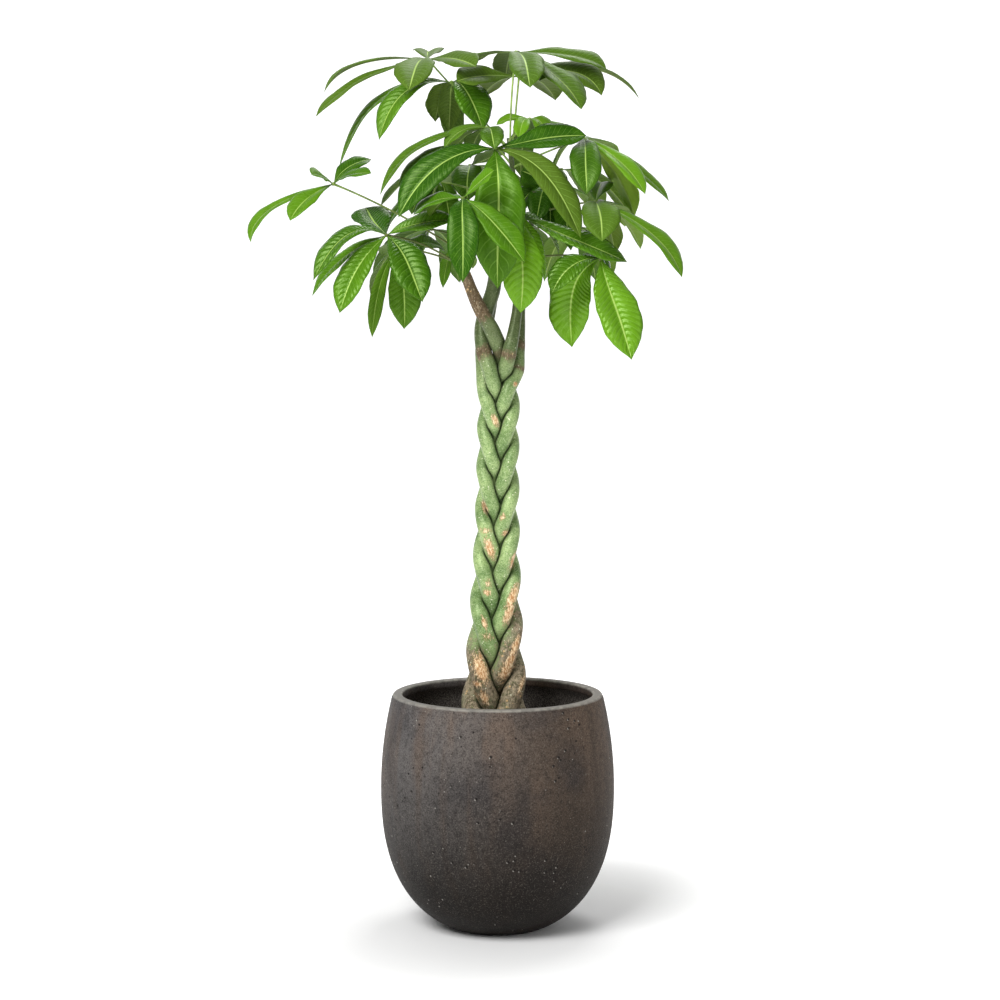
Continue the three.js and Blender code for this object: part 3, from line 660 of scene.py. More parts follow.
DEEP_GREEN = (0.090, 0.175, 0.045, 1)
PALE_GREEN = (0.330, 0.450, 0.180, 1)
DULL_GREEN = (0.030, 0.030, 0.013, 1)
PALE_STIPPLE = (0.54, 0.60, 0.38, 1)
DARK_STIPPLE = (0.045, 0.095, 0.026, 1)
DARK_CORK = (0.080, 0.054, 0.036, 1)
LIGHT_CORK = (0.300, 0.240, 0.165, 1)
REDDENED_CORK = (0.088, 0.046, 0.026, 1)
MOSSY_CORK = (0.155, 0.180, 0.095, 1)
CORK_CRUST = (0.46, 0.37, 0.24, 1)
CORK_CRACKS = (0.040, 0.028, 0.018, 1)
DOT_COLOUR = (0.76, 0.78, 0.56, 1)
FLECK_COLOUR = (0.66, 0.42, 0.20, 1)
TORN_EDGE = (0.34, 0.17, 0.08, 1)
DARK_WOOD = (0.46, 0.21, 0.08, 1)
PALE_WOOD = (0.86, 0.68, 0.43, 1)
SEAM_SHADE_AND_GRIME = (0.018, 0.026, 0.010, 1)

bark, tree, shader = new_material("young_bark", 0.46)
set_input(shader, "Specular Tint", (0.85, 1.0, 0.60, 1))
place = place_on_object(tree)
age = kept_values(tree, "age")
peel = kept_values(tree, "peel")
height = add_node(tree, "ShaderNodeSeparateXYZ", Vector=place).outputs[2]
broad = noise_at(place, 22.0)
fine = noise_at(place, 400.0, 3.0, 0.75)
coarse = noise_at(place, 120.0, 4.0, 0.7)
strands = noise_at(place_on_object(tree, (420, 420, 130)), 1.0, 4.0, 0.75)
colour = blend_colours(ramp_between(broad, 0.30, 0.70), DEEP_GREEN, PALE_GREEN)
colour = stained(colour, PALE_STIPPLE, ramp_between(fine, 0.51, 0.66), 0.48)
colour = stained(colour, DARK_STIPPLE, ramp_between(fine, 0.50, 0.36), 0.65)
colour = stained(colour, DULL_GREEN, ramp_between(height, 0.95, 1.12), 0.76)

cork = blend_colours(ramp_between(coarse, 0.38, 0.62), DARK_CORK, LIGHT_CORK)
cork = stained(cork, REDDENED_CORK, ramp_between(height, 0.93, 0.98), 0.80)
mossy = times(ramp_between(broad, 0.46, 0.62), ramp_between(height, 0.98, 0.93))
cork = stained(cork, MOSSY_CORK, mossy, 0.55)
cork = stained(cork, CORK_CRUST, ramp_between(strands, 0.53, 0.66), 0.75)
cork = stained(cork, CORK_CRACKS, ramp_between(strands, 0.46, 0.34), 0.80)
rough = plus(about_middle(coarse, 1.3), about_middle(fine, 0.9))
colour = blend_colours(ramp_between(plus(age, rough), 0.25, 0.80), colour, cork)

dotted = ramp_between(noise_at(place, 60.0, 0.0), 0.50, 0.60)
dot = times(ramp_between(cells_at(place, 150.0), 0.24, 0.12), dotted)
dot = times(dot, ramp_between(height, 1.28, 0.90))
colour = stained(colour, DOT_COLOUR, dot, 0.80)
flecked = ramp_between(noise_at(place, 48.0, 0.0), 0.54, 0.62)
fleck = times(ramp_between(cells_at(place, 115.0), 0.30, 0.16), flecked)
fleck = times(fleck, ramp_between(age, 0.35, 0.80))
colour = stained(colour, FLECK_COLOUR, fleck, 0.70)

ragged = plus(plus(peel, about_middle(strands, 2.3)), times(rough, 0.5))
bared = times(ramp_between(ragged, 0.45, 0.58), ramp_between(peel, 0.10, 0.30))
halo = times(ramp_between(ragged, 0.20, 0.45), ramp_between(peel, 0.05, 0.30))
colour = stained(colour, TORN_EDGE, halo, 0.65)
wood = blend_colours(ramp_between(strands, 0.44, 0.60), DARK_WOOD, PALE_WOOD)
colour = blend_colours(bared, colour, wood)
# The seams between the stems are darkened: painted shade, with some grime.
seam_shade = ramp_between(kept_values(tree, "seam_shade"), 0.04, 1.0)
colour = stained(colour, SEAM_SHADE_AND_GRIME, seam_shade, 0.94)
set_input(shader, "Base Color", colour)
set_input(shader, "Roughness", plus(times(age, 0.40), 0.34))
relief = plus(times(fine, 0.4), times(strands, age))
set_bump(shader, minus(relief, times(bared, 0.6)), 0.0014, 0.7)
for stem, piece in enumerate(bark_stems):
    piece.data.materials.append(bark)
    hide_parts(f"stem_{stem + 1}")
    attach(piece, "root")

# Each leaf grows from its stem on a long thin stalk. Its glossy leaflets spread from a small
# knob at the stalk's end, with a pale raised midrib and sunk side veins that quilt the blade.
# Distances are in millimetres from the pot's foot.
BLADE_COLUMNS = 12
BLADE_ROWS = 78
BLADE_THICKNESS = 0.7
BLADE_FOLD = math.radians(14)
BLADE_ROUNDING = 0.10
BLADE_DROOP = 0.065
USUAL_FACE = (0, -0.6, 0.8)
USUAL_REACH = 0.65
SMOOTH_PUFF = 0.18
SIDE_VEINS = 17
VEIN_SWEEP = 0.13
QUILT_HEIGHT = 0.010
PUFFED_HEIGHT = 0.018
EDGE_UNEVENNESS = 0.02
EDGE_WAVES = 31
EDGE_RIPPLE = 0.035
BLADE_SWAY = 0.02
OUTLINE_PLACES = (0, 0.03, 0.08, 0.15, 0.24, 0.34, 0.46, 0.58, 0.69, 0.79, 0.87, 0.93, 0.97, 1)
OUTLINE_WIDTHS = (0.05, 0.06, 0.12, 0.28, 0.50, 0.71, 0.90, 1.0, 1.0, 0.91, 0.70, 0.41, 0.16, 0)
RIB_ROWS = 26
RIB_REACH = 0.95
RIB_RADIUS = 0.62
RIB_END_RADIUS = 0.2
RIB_SUNK = 0.35
STALK_ROWS = 40
STALK_RADIUS = 1.7
# How much wider a stalk is at its foot and at its knob, and the share of it that this takes.
FOOT_FLARE = (1.5, 0.05)
KNOB_FLARE = (0.9, 0.04)
KNOB_RADIUS = 4.2
# A leaflet is its tip from the knob, the rise of its arch, its width, and its reach and roll
# where they are not the usual ones. Face is the way that a leaf looks. Tones say how light and
# yellow the green is, from 0 for the oldest and deepest to 1, and olives how olive and matt:
# one for each leaflet, or a few that repeat. The tones are partly painted light: leaflets deep
# in the plant and at its back are set darker as painted shade, and some that light shines
# through are set lighter as painted light. Puff is how puffed up the blade is between veins.
LEAVES = {
    "leaf_top_left": dict(
        root=[22, 1, 1424], bow=[0, 110, 4], hub=[-128, 70, 1591], face=[0, -0.1, 1],
        tones=[0.4, 0.45, 0.3, 0.1, 0.3, 0.25], olives=[0.75],
        leaflets=[
            [-188, -20, -61, 9, 54, 0.8], [-198, -90, -110, -30, 58], [-28, -170, -70, -5, 72],
            [-2, 150, 27, 26, 60], [91, 105, -14, 2, 50, 0.65, -20], [90, -142, -26, -2, 56, 0.65, -25],
        ],
    ),
    "leaf_left_bright": dict(
        root=[26, 3, 1396], bow=[0, 30, -10], hub=[-83, 20, 1545], face=[0, -0.5, 1],
        tones=[0.3, 0.4, 0.2, 0.1, 0.1, 0.22], olives=[0.1, 0.3, 0.5, 0.5, 0.2, 0.0], puff=0.6,
        leaflets=[
            [-129, -60, -107, 15, 54, 0.75], [-207, 30, -153, 20, 45, 0.72], [-32, 75, -66, 6, 54],
            [-6, 60, -89, 0, 46], [0, 100, -110, -20, 46], [57, -30, -90, 8, 75, 0.5],
        ],
    ),
    "leaf_left_arching": dict(
        root=[24, 1, 1412], bow=[0, -10, 10], hub=[-19, -60, 1458], face=[0, -0.5, 1],
        tones=[0.25, 0.3, 0.1, 0.2, 0.1], olives=[0.45, 0.45, 0.3, 0.3, 0.2],
        leaflets=[
            [-191, 10, -118, -9, 40, 0.78], [-76, -10, -38, 10, 40], [14, -50, -40, 2, 44],
            [-70, 110, -44, 0, 44], [-30, 40, -52, 0, 52],
        ],
    ),
    "leaf_crown": dict(
        root=[23, 0, 1420], bow=[-6, -26, 0], hub=[33, -10, 1596], face=[0, -0.1, 1],
        tones=[0.1, 0.1, 0.2, 0.2, 0.1], olives=[0.60],
        leaflets=[
            [-91, 90, -17, 8, 48], [24, -150, -75, -8, 66], [115, -90, -108, -38, 80, 0.7],
            [164, 14, -31, 2, 58, 0.78, -25], [-20, 170, -40, 16, 56],
        ],
    ),
    "leaf_crown_right": dict(
        root=[25, 5, 1406], bow=[0, 26, 0], hub=[39, 34, 1556], face=[0, -0.15, 1],
        tones=[0.2, 0.05, 0.4, 0.2, 0.2, 0.2], olives=[0.80],
        leaflets=[
            [-112, -72, -14, 2, 56, 0.7, 34], [149, -30, -36, 34, 72, 0.78, -25],
            [220, 40, -35, 50, 54, 0.7], [36, -112, -16, 4, 50], [70, 165, -30, 14, 58],
            [-70, 140, -30, 10, 54],
        ],
    ),
    "leaf_young_right": dict(
        root=[21, 0, 1438], bow=[6, -4, 6], hub=[58, 8, 1478], face=[0, -0.6, 1],
        tones=[1.0, 0.9, 1.0, 0.8, 0.8, 0.1], olives=[0.35, 0.2, 0.35, 0.3, 0.3, 0.1],
        leaflets=[
            [-60, 6, -10, 8, 30], [-20, -60, -38, 4, 30], [96, 50, -34, -8, 40], [34, -40, -38, 6, 36],
            [10, 100, -24, 4, 40], [-16, 92, -98, -10, 50],
        ],
    ),
    "leaf_front": dict(
        root=[-11, 1, 1352], bow=[0, -10, 26], hub=[-4, -90, 1420], face=[0, -0.75, 0.66],
        tones=[0.0, 0.2, 0.3, 0.0, 0.2], olives=[0.0, 0.0, 0.85, 0.0, 0.4],
        leaflets=[
            [-170, -40, -122, 6, 68, 0.6], [4, -38, -247, -60, 97, 1.8],
            [151, -30, -158, -10, 60, 0.63], [162, 20, 24, 23, 60, 0.56], [-173, 60, -64, 2, 52, 0.75],
        ],
    ),
    "leaf_front_low": dict(
        root=[-6, 6, 1285], bow=[0, 0, -10], hub=[-60, -165, 1330],
        tones=[0.25, 0.0, 0.35, 0.5, 0.2], puff=0.1,
        leaflets=[
            [-88, 40, -28, 5, 52], [0, -60, -147, -10, 57, 0.9], [107, -50, -112, -30, 62, 0.5],
            [54, -30, 47, 34, 40], [-60, 90, -30, 10, 44],
        ],
    ),
    "leaf_right_upper": dict(
        root=[26, 3, 1390], bow=[0, -6, 6], hub=[155, -20, 1442], face=[0, -0.45, 1],
        tones=[0.5, 0.8, 0.1, 1.0, 0.4, 0.7], olives=[0.45, 0.15, 0.15, 0.1, 0.2, 0.2],
        leaflets=[
            [155, 20, -111, -54, 50, 0.7], [107, -70, -102, -32, 46], [2, -110, -104, -15, 58, 0.8],
            [96, 60, -136, -44, 62, 0.65, 34], [-62, 30, -88, 4, 64], [60, 140, -50, 10, 54],
        ],
    ),
    "leaf_right_middle": dict(
        root=[62, 30, 1305], bow=[0, 0, 10], hub=[175, -60, 1327], face=[0, -0.5, 1],
        tones=[0.3, 0.55, 0.8, 0.1, 0.5, 0.6], olives=[0.60, 0.25, 0.1, 0.3],
        leaflets=[
            [7, -120, -72, 0, 70], [153, -30, -134, -46, 53, 0.8], [86, 90, -82, -12, 60],
            [15, 120, 40, 34, 50], [38, 60, -92, -8, 52], [60, 150, -40, 10, 50],
        ],
    ),
    "leaf_right_low": dict(
        root=[50, 30, 1226], bow=[0, 0, 14], hub=[183, -80, 1226],
        tones=[0.3, 0.7, 0.7, 0.2], puff=1.0,
        leaflets=[
            [-87, -60, -62, 8, 54], [-49, 30, -158, -25, 92, 1.3, 50], [54, -50, -178, -56, 80, 0.32],
            [-66, 110, -26, 8, 54],
        ],
    ),
    "leaf_middle_right": dict(
        root=[58, 31, 1262], bow=[0, -20, 10], hub=[33, -66, 1305],
        tones=[0.2, 0.85, 1.0, 0.15, 0.1], puff=0.8,
        leaflets=[
            [197, -30, -85, -46, 58, 0.56], [8, -30, -175, -60, 74, 2], [52, 20, -120, -20, 46],
            [78, 60, -70, 0, 56], [-36, -14, -84, -10, 44],
        ],
    ),
    "leaf_left_middle": dict(
        root=[-62, -14, 1210], bow=[0, 0, 22], hub=[-198, -60, 1268],
        tones=[0.4, 0.10, 0.0, 0.2, 0.4, 0.35], puff=0.65,
        leaflets=[
            [-81, -60, -138, -40, 59], [66, -70, -118, -24, 72, 0.5], [-42, 90, 52, 26, 74],
            [-127, -60, -80, 38, 50, 0.58, -20], [-137, 40, -108, -26, 46], [124, -30, 26, 28, 52, 0.4],
        ],
    ),
    "leaf_left_inner": dict(
        root=[-64, -13, 1216], bow=[0, 10, 10], hub=[-184, 50, 1248],
        tones=[0.25, 0.55, 0.3, 0.1, 0.1], olives=[0.1, 0.3, 0.1, 0.2, 0.2], puff=0.5,
        leaflets=[
            [13, -20, -149, -50, 62, 1.5], [-47, 10, -165, -60, 28, 0.9, 50], [-53, 60, -84, -20, 40],
            [86, 60, -6, 20, 52], [-20, 120, -20, 14, 50],
        ],
    ),
    "leaf_left_small": dict(
        root=[-69, -10, 1234], bow=[0, 0, 4], hub=[-80, 50, 1246], face=[0, -0.4, 1],
        tones=[0.3, 0.2, 0.1], olives=[0.2],
        leaflets=[
            [-20, -10, -72, -10, 30], [12, 10, -62, -10, 30], [6, 90, -24, 4, 32], [34, 80, -36, 4, 34],
        ],
    ),
    "leaf_far_left": dict(
        root=[-71, -9, 1243], bow=[0, 0, 14], hub=[-296, -10, 1361], face=[0, -0.5, 1],
        tones=[0.5, 0.5, 0.35, 0.1, 0.3], olives=[0.1, 0.1, 0.3, 0.0, 0.0],
        leaflets=[
            [-148, -20, -105, -40, 36, 1.04], [-72, -80, -68, -18, 46], [-37, -30, 15, 15, 52],
            [66, 50, 47, 38, 38, 0.3], [71, -50, 17, 22, 38, 0.4],
        ],
    ),
    "leaf_inner_left": dict(
        root=[-10, 3, 1336], bow=[0, 0, 10], hub=[-106, 60, 1367], face=[0, -0.5, 1],
        tones=[0.0, 0.15, 0.1], olives=[0.15],
        leaflets=[
            [-50, -50, -60, -4, 46], [20, -30, -80, -4, 46], [-98, 20, -88, -12, 54],
            [-24, 80, -84, 0, 52],
        ],
    ),
    "leaf_inner_right": dict(
        root=[65, 26, 1338], bow=[0, 0, 6], hub=[94, 62, 1362],
        tones=[0.0, 0.15, 0.05, 0.1, 0.0, 0.4],
        leaflets=[
            [-24, -64, -70, -4, 46], [40, -30, -120, -20, 52], [-62, 4, -60, 0, 54],
            [-50, -12, 26, 18, 54, 0.65, 58], [2, -24, -80, -8, 48], [70, 90, -30, 8, 48],
        ],
    ),
    "leaf_back_left": dict(
        root=[9, 77, 1340], bow=[0, 0, 10], hub=[-52, 160, 1402], face=[0, 0.1, 1],
        tones=[0.1, 0.2, 0.1, 0.1, 0.1, 0.05], olives=[0.2],
        leaflets=[
            [-168, 20, -74, 4, 64], [-80, 150, -80, 6, 68], [30, 170, -70, 6, 60],
            [110, 50, -60, 4, 52], [-4, -80, -70, 0, 60], [58, -56, 26, 10, 56],
        ],
    ),
    "leaf_back_right": dict(
        root=[8, 73, 1322], bow=[0, 0, 6], hub=[120, 190, 1396], face=[0, 0.3, 1],
        tones=[0.2, 0.2, 0.1], olives=[0.3],
        leaflets=[
            [140, 40, -100, 0, 54], [80, 150, -80, 6, 56], [-30, 170, -70, 6, 54],
            [-10, -40, -100, -8, 46],
        ],
    ),
    "leaf_back_low": dict(
        root=[3, 62, 1265], bow=[0, 0, 6], hub=[0, 220, 1300], face=[0, 0.3, 1],
        tones=[0.0, 0.1], olives=[0.2],
        leaflets=[
            [0, 170, -100, 0, 58], [-110, 100, -90, 0, 54], [110, 100, -90, 0, 54],
            [-70, -30, -100, -8, 46], [70, -20, -105, -8, 46],
        ],
    ),
    "leaf_back_far_left": dict(
        root=[0, 58, 1238], bow=[0, 10, 10], hub=[-124, 170, 1284], face=[0, 0.3, 1],
        tones=[0.0, 0.1],
        leaflets=[
            [-110, 40, -100, 0, 52], [-60, 140, -100, 0, 54], [50, 120, -100, 0, 52],
            [-40, -50, -100, -8, 44],
        ],
    ),
    "leaf_back_far_right": dict(
        root=[60, 31, 1280], bow=[0, 10, 10], hub=[150, 160, 1288], face=[0, 0.3, 1],
        tones=[0.2, 0.0],
        leaflets=[
            [64, 90, -104, 0, 52], [40, 150, -100, 0, 54], [-60, 110, -100, 0, 50],
            [60, -40, -110, -8, 46],
        ],
    ),
}


def copy_with_points(sheet, points, name):
    """A copy of a sheet with its own mesh, bent to the given points, in millimetres."""
    piece = own_copy(sheet)
    piece.name = name
    set_points(piece, points / 1000)
    return piece


def arch(start, middle, end, places):
    """Points and directions along a stalk or midrib that bows towards its middle point."""
    t = places[:, None]
    points = (1 - t) ** 2 * start + 2 * t * (1 - t) * middle + t**2 * end
    ways = 2 * (1 - t) * (middle - start) + 2 * t * (end - middle)
    return points, ways / np.linalg.norm(ways, axis=1)[:, None]


def rolled_tube(grid, line, faces, radii, name):
    """A thin round tube: the sheet rolled up round a line, one row at each of its points."""
    sheet, across, along = grid
    points, ways = line
    row = np.rint(along * (len(points) - 1)).astype(int)
    turn = across * 2 * math.pi
    sides = np.cross(ways, faces)
    rim = faces[row] * np.cos(turn)[:, None] + sides[row] * np.sin(turn)[:, None]
    return copy_with_points(sheet, points[row] + rim * radii[row][:, None], name)


blade_sheet, blade_across, blade_along = grid_of("blade_sheet", BLADE_COLUMNS, BLADE_ROWS)
rib_grid = grid_of("rib_sheet", 6, RIB_ROWS)
stalk_grid = grid_of("stalk_sheet", 10, STALK_ROWS)
bpy.ops.mesh.primitive_uv_sphere_add(segments=14, ring_count=9, radius=1)
knob_ball = bpy.context.object
knob_points = points_of(knob_ball)
rng = np.random.default_rng(5)


def blade_points(start, middle, end, width, face, roll, puff):
    """A leaflet's upper surface: its points, the way each row faces, and the count of veins."""
    places = np.linspace(0, 1, BLADE_ROWS + 1)
    points, ways = arch(start, middle, end, places)
    flat_faces = carried(face, ways)
    flat_sides = np.cross(ways, flat_faces)
    faces = flat_faces * math.cos(roll) - flat_sides * math.sin(roll)
    sides = flat_sides * math.cos(roll) + flat_faces * math.sin(roll)
    row = np.rint(blade_along * BLADE_ROWS).astype(int)
    side = 2 * blade_across - 1
    out = np.abs(side)
    left, right, uneven = rng.uniform(0, 2 * math.pi, 3)

    half = width / 2 * np.interp(places, OUTLINE_PLACES, OUTLINE_WIDTHS)[row]
    scallops = np.sin(EDGE_WAVES * blade_along + 9 * side)
    slow_waves = np.sin(11 * blade_along + uneven + 2 * side)
    half = half * (1 + EDGE_UNEVENNESS * (scallops + 1.2 * slow_waves))

    veins = SIDE_VEINS + 1.5 * math.cos(left)
    stagger = np.where(side < 0, 0.5, 0.0) * math.sin(right)
    phase = veins * (blade_along - VEIN_SWEEP * out**1.2) + stagger
    phase += 0.35 * np.sin(7 * blade_along + uneven) + 0.12 * np.sin(5 * out + uneven)
    from_vein = np.abs(phase - np.rint(phase))

    body = np.sin(math.pi * np.clip(blade_along, 0, 1)) ** 0.6
    quilt = (QUILT_HEIGHT + PUFFED_HEIGHT * puff) * width * np.sin(math.pi * from_vein)
    quilt = quilt * body * (1 - out**3) * np.sqrt(out)
    ripple = np.where(side < 0, np.sin(13 * blade_along + left), np.sin(12 * blade_along + right))
    wave = EDGE_RIPPLE * width * ripple * out**2.5 * body
    rounding = BLADE_ROUNDING * np.sin(math.pi * out)
    camber = half * (math.sin(BLADE_FOLD) * out + rounding - BLADE_DROOP * out**3)
    sway = BLADE_SWAY * width * np.sin(5 * blade_along + left) * body
    spread = side * half * math.cos(BLADE_FOLD) + sway
    lift = camber + quilt + wave
    bent = points[row] + sides[row] * spread[:, None] + faces[row] * lift[:, None]
    return bent, faces, phase


LEAF_SHEEN = (0.72, 1.0, 0.38, 1)
RIB_DARK = (0.16, 0.28, 0.04, 1)
RIB_LIGHT = (0.32, 0.46, 0.10, 1)
STALK_DARK = (0.14, 0.24, 0.04, 1)
STALK_LIGHT = (0.28, 0.40, 0.10, 1)
STALK_BROWN = (0.070, 0.066, 0.022, 1)
# The greens of a blade: on its upper face, and on its paler underside.
BLADE_GREENS = {
    "young": ((0.145, 0.345, 0.009, 1), (0.240, 0.390, 0.040, 1)),
    "old": ((0.015, 0.066, 0.0015, 1), (0.036, 0.092, 0.006, 1)),
    "olive": ((0.066, 0.110, 0.010, 1), (0.080, 0.118, 0.012, 1)),
    "puffed": ((0.15, 0.34, 0.03, 1), (0.17, 0.29, 0.04, 1)),
    "vein": ((0.210, 0.400, 0.065, 1), (0.24, 0.34, 0.08, 1)),
    "rib": ((0.42, 0.60, 0.14, 1), (0.36, 0.46, 0.14, 1)),
}


def blade_material(name, roughness, under):
    """One face of a blade: its green by age and by painted light, the side veins, the midrib and the
    quilting.
    """
    material, tree, shader = new_material(name, roughness)
    set_input(shader, "Specular Tint", LEAF_SHEEN)
    greens = {title: pair[under] for title, pair in BLADE_GREENS.items()}
    place = place_on_object(tree)
    chart = add_node(tree, "ShaderNodeUVMap", {"uv_map": "UVMap"}).outputs[0]
    across = add_node(tree, "ShaderNodeSeparateXYZ", Vector=chart).outputs[0]
    out = math_node("ABSOLUTE", minus(times(across, 2.0), 1.0))
    from_vein = math_node("PINGPONG", kept_values(tree, "phase"), 0.5)
    vein = times(ramp_between(from_vein, 0.10, 0.02), ramp_between(out, 0.98, 0.55))
    broad = noise_at(place, 30.0)
    fine = noise_at(place, 360.0, 3.0, 0.7)
    # The tone blends from the old to the young green. It is partly painted light: darker for leaflets
    # in shade, lighter where light shines through.
    tone = plus(kept_values(tree, "tone"), about_middle(broad, 0.5))
    colour = blend_colours(tone, greens["old"], greens["young"])
    colour = blend_colours(kept_values(tree, "olive"), colour, greens["olive"])
    colour = stained(colour, greens["puffed"], ramp_between(from_vein, 0.1, 0.5), 0.06)
    colour = stained(colour, greens["puffed"], ramp_between(fine, 0.50, 0.70), 0.20)
    colour = stained(colour, greens["vein"], vein, 0.30)
    colour = stained(colour, greens["rib"], ramp_between(out, 0.055, 0.020), 0.80)
    set_input(shader, "Base Color", colour)
    quilted = plus(times(from_vein, kept_values(tree, "puff")), times(fine, 0.22))
    set_bump(shader, quilted, 0.0032, 0.6, invert=under)
    return material, tree, shader, broad


def green_skin(name, dark, light):
    """The skin of ribs and stalks, mottled from a dark to a light green."""
    material, tree, shader = new_material(name, 0.45)
    set_input(shader, "Specular Tint", LEAF_SHEEN)
    place = place_on_object(tree)
    mottle = ramp_between(noise_at(place, 60.0), 0.35, 0.65)
    return material, shader, place, blend_colours(mottle, dark, light)


blade_under, *_ = blade_material("blade_underside", 0.55, under=True)
blade_upper, tree, shader, broad = blade_material("blade_upper", 0.30, under=False)
set_input(shader, "Specular IOR Level", plus(times(kept_values(tree, "puff"), 0.30), 0.20))
dulled = times(kept_values(tree, "olive"), 0.35)
set_input(shader, "Roughness", plus(plus(times(broad, 0.18), 0.16), dulled))

leaf_rib, shader, _, colour = green_skin("leaf_rib", RIB_DARK, RIB_LIGHT)
set_input(shader, "Base Color", colour)

leaf_stalk, shader, place, colour = green_skin("leaf_stalk", STALK_DARK, STALK_LIGHT)
height = add_node(place.id_data, "ShaderNodeSeparateXYZ", Vector=place).outputs[2]
colour = stained(colour, STALK_BROWN, ramp_between(height, 1.42, 1.26), 0.80)
set_input(shader, "Base Color", colour)

for name, leaf in LEAVES.items():
    root, hub = np.array(leaf["root"], float), np.array(leaf["hub"], float)
    face = np.array(leaf.get("face", USUAL_FACE), float)
    face /= np.linalg.norm(face)
    tones = leaf["tones"]
    olives = leaf.get("olives", [0.0])
    puff = leaf.get("puff", SMOOTH_PUFF)
    blades = []
    ribs = []
    for number, (dx, dy, dz, lift, width, *rest) in enumerate(leaf["leaflets"]):
        reach = rest[0] if rest else USUAL_REACH
        roll = math.radians(rest[1]) if len(rest) > 1 else 0.0
        tip = hub + (dx, dy, dz)
        crest = hub + (reach * dx, reach * dy, lift)
        points, faces, phase = blade_points(hub, crest, tip, width, face, roll, puff)
        blade = copy_with_points(blade_sheet, points, f"{name}_blade_{number}")
        # The tone is partly painted light: painted shade on leaflets deep in the plant and at its back,
        # painted light on some that light shines through.
        keep_values(blade, "tone", tones[number % len(tones)] + rng.uniform(-0.05, 0.05))
        keep_values(blade, "olive", olives[number % len(olives)])
        keep_values(blade, "puff", puff)
        keep_values(blade, "phase", phase)
        blades.append(blade)

        along = np.linspace(0, RIB_REACH, RIB_ROWS + 1)
        rib_line, rib_ways = arch(hub, crest, tip, along)
        rib_faces = faces[np.rint(along * BLADE_ROWS).astype(int)]
        radii = RIB_RADIUS * (1 - along) ** 0.8 + RIB_END_RADIUS
        sunk_line = rib_line - rib_faces * (RIB_SUNK * radii)[:, None]
        rib = rolled_tube(rib_grid, (sunk_line, rib_ways), rib_faces, radii, f"{name}_rib_{number}")
        rib.data.materials.append(leaf_rib)
        ribs.append(rib)

    fan = join_pieces(blades)
    fan.data.materials.append(blade_upper)
    fan.data.materials.append(blade_under)
    thickness = fan.modifiers.new("thickness", "SOLIDIFY")
    thickness.thickness = BLADE_THICKNESS / 1000
    thickness.offset = -1
    thickness.material_offset = 1
    bpy.ops.object.modifier_apply(modifier="thickness")

    along = np.linspace(0, 1, STALK_ROWS + 1)
    bowed = (root + hub) / 2 + np.array(leaf["bow"], float)
    stalk_line = arch(root, bowed, hub, along)
    stalk_faces = carried(np.array([0.3, -1.0, 0.2]), stalk_line[1])
    radii = STALK_RADIUS + FOOT_FLARE[0] * np.exp(-along / FOOT_FLARE[1])
    radii += KNOB_FLARE[0] * np.exp(-(1 - along) / KNOB_FLARE[1])
    stalk = rolled_tube(stalk_grid, stalk_line, stalk_faces, radii, f"{name}_stalk")
    knob = copy_with_points(knob_ball, hub + knob_points * KNOB_RADIUS * (1, 1, 0.8), f"{name}_knob")
    for part in (stalk, knob):
        part.data.materials.append(leaf_stalk)
    join_pieces([fan, stalk, knob, *ribs])
    fan.name = name.replace("leaf_", "palmate_")
    bpy.ops.object.shade_smooth()
    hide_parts(name)
    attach(fan, "root")
for sheet in (blade_sheet, rib_grid[0], stalk_grid[0], knob_ball):
    bpy.data.objects.remove(sheet)

# The floor runs back and sweeps up behind the plant in one plain pale curve. Its paper glows
# a little, but less near the foot, where the planter's soft shadow lies.
SWEEP_WIDTH = 24
SWEEP_DEPTH = 14
SWEEP_CURVE = 2.5
SWEEP_STEPS = 12
SWEEP_HEIGHT = 9
NEAR_BACK_EDGE = SWEEP_DEPTH / 2 - 0.1

bpy.ops.mesh.primitive_plane_add(size=1)
sweep = bpy.context.object
sweep.name = "sweep"
bpy.ops.transform.resize(value=(SWEEP_WIDTH, SWEEP_DEPTH, 1), center_override=(0, 0, 0))
bpy.ops.object.transform_apply(location=True, rotation=True, scale=True)
bpy.ops.object.mode_set(mode="EDIT")
bpy.ops.mesh.select_mode(type="EDGE")
bpy.ops.mesh.select_all(action="DESELECT")
bpy.ops.object.mode_set(mode="OBJECT")
for edge in sweep.data.edges:
    edge.select = all(sweep.data.vertices[index].co.y > NEAR_BACK_EDGE for index in edge.vertices)
bpy.ops.object.mode_set(mode="EDIT")
for step in range(SWEEP_STEPS):
    before = math.radians(90 * step / SWEEP_STEPS)
    turn = math.radians(90 * (step + 1) / SWEEP_STEPS)
    rise = SWEEP_CURVE * (math.cos(before) - math.cos(turn))
    back = SWEEP_CURVE * (math.sin(turn) - math.sin(before))
    bpy.ops.mesh.extrude_region_move(TRANSFORM_OT_translate={"value": (0, back, rise)})
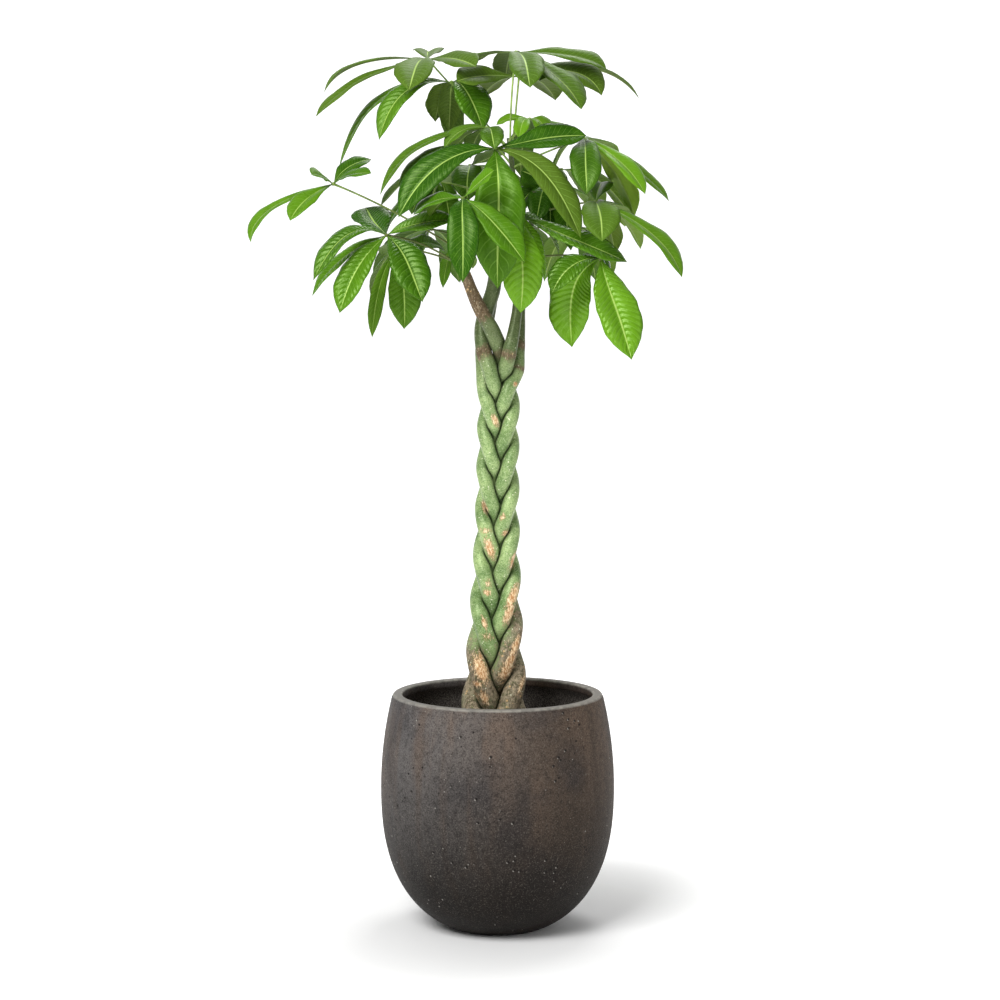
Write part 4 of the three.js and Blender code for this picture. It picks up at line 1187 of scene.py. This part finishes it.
bpy.ops.mesh.extrude_region_move(TRANSFORM_OT_translate={"value": (0, 0, SWEEP_HEIGHT)})
bpy.ops.object.mode_set(mode="OBJECT")
bpy.ops.object.shade_smooth()

paper, tree, shader = new_material("backdrop_paper", 0.9)
set_input(shader, "Base Color", (0.90, 0.90, 0.895, 1))
set_input(shader, "Emission Color", (1, 1, 1, 1))
glow = times(ramp_between(distance_of(place_on_object(tree)), 0.19, 0.9), 0.60)
set_input(shader, "Emission Strength", glow)
sweep.data.materials.append(paper)

# Soft studio light: a broad bright sky all round, a large soft box high on the left of the
# camera, a weaker one on the right and one from above and behind that edges the leaves.
SKY_STRENGTH = 0.28
SOFT_BOXES = [
    ("key", (-1.7, -3.0, 3.6), (0, 0, 0.95), 2.2, 212),
    ("fill", (3.2, -2.6, 1.6), (0, 0, 0.9), 2.2, 26),
    ("top", (0.6, 1.6, 3.8), (0, 0, 1.2), 1.4, 40),
]


def stand_at(holder, spot, target):
    """Sets a lamp or the camera down at a spot, turned to look at its target."""
    bpy.context.collection.objects.link(holder)
    holder.location = spot
    holder.rotation_euler = (Vector(target) - Vector(spot)).to_track_quat("-Z", "Y").to_euler()


world = bpy.data.worlds.new("studio")
bpy.context.scene.world = world
world.use_nodes = True
sky = world.node_tree.nodes["Background"]
set_input(sky, "Color", (1, 1, 1, 1))
set_input(sky, "Strength", SKY_STRENGTH)
for name, spot, target, size, power in SOFT_BOXES:
    lamp = bpy.data.lights.new(name, "AREA")
    lamp.shape = "SQUARE"
    lamp.size = size
    lamp.energy = power
    stand_at(bpy.data.objects.new(name, lamp), spot, target)

# The camera stands in front of the plant, a little above its middle, and looks slightly down.
# Its lens frames the plant from the floor to the topmost leaf.
CAMERA_SPOT = (0.0045, -4.5, 1.178)
CAMERA_TARGET = (0.0045, 0, 0.788)

lens = bpy.data.cameras.new("camera")
lens.lens = 88.96
lens.sensor_width = 36
camera = bpy.data.objects.new("camera", lens)
stand_at(camera, CAMERA_SPOT, CAMERA_TARGET)
bpy.context.scene.camera = camera
bpy.context.scene.view_settings.view_transform = "Standard"
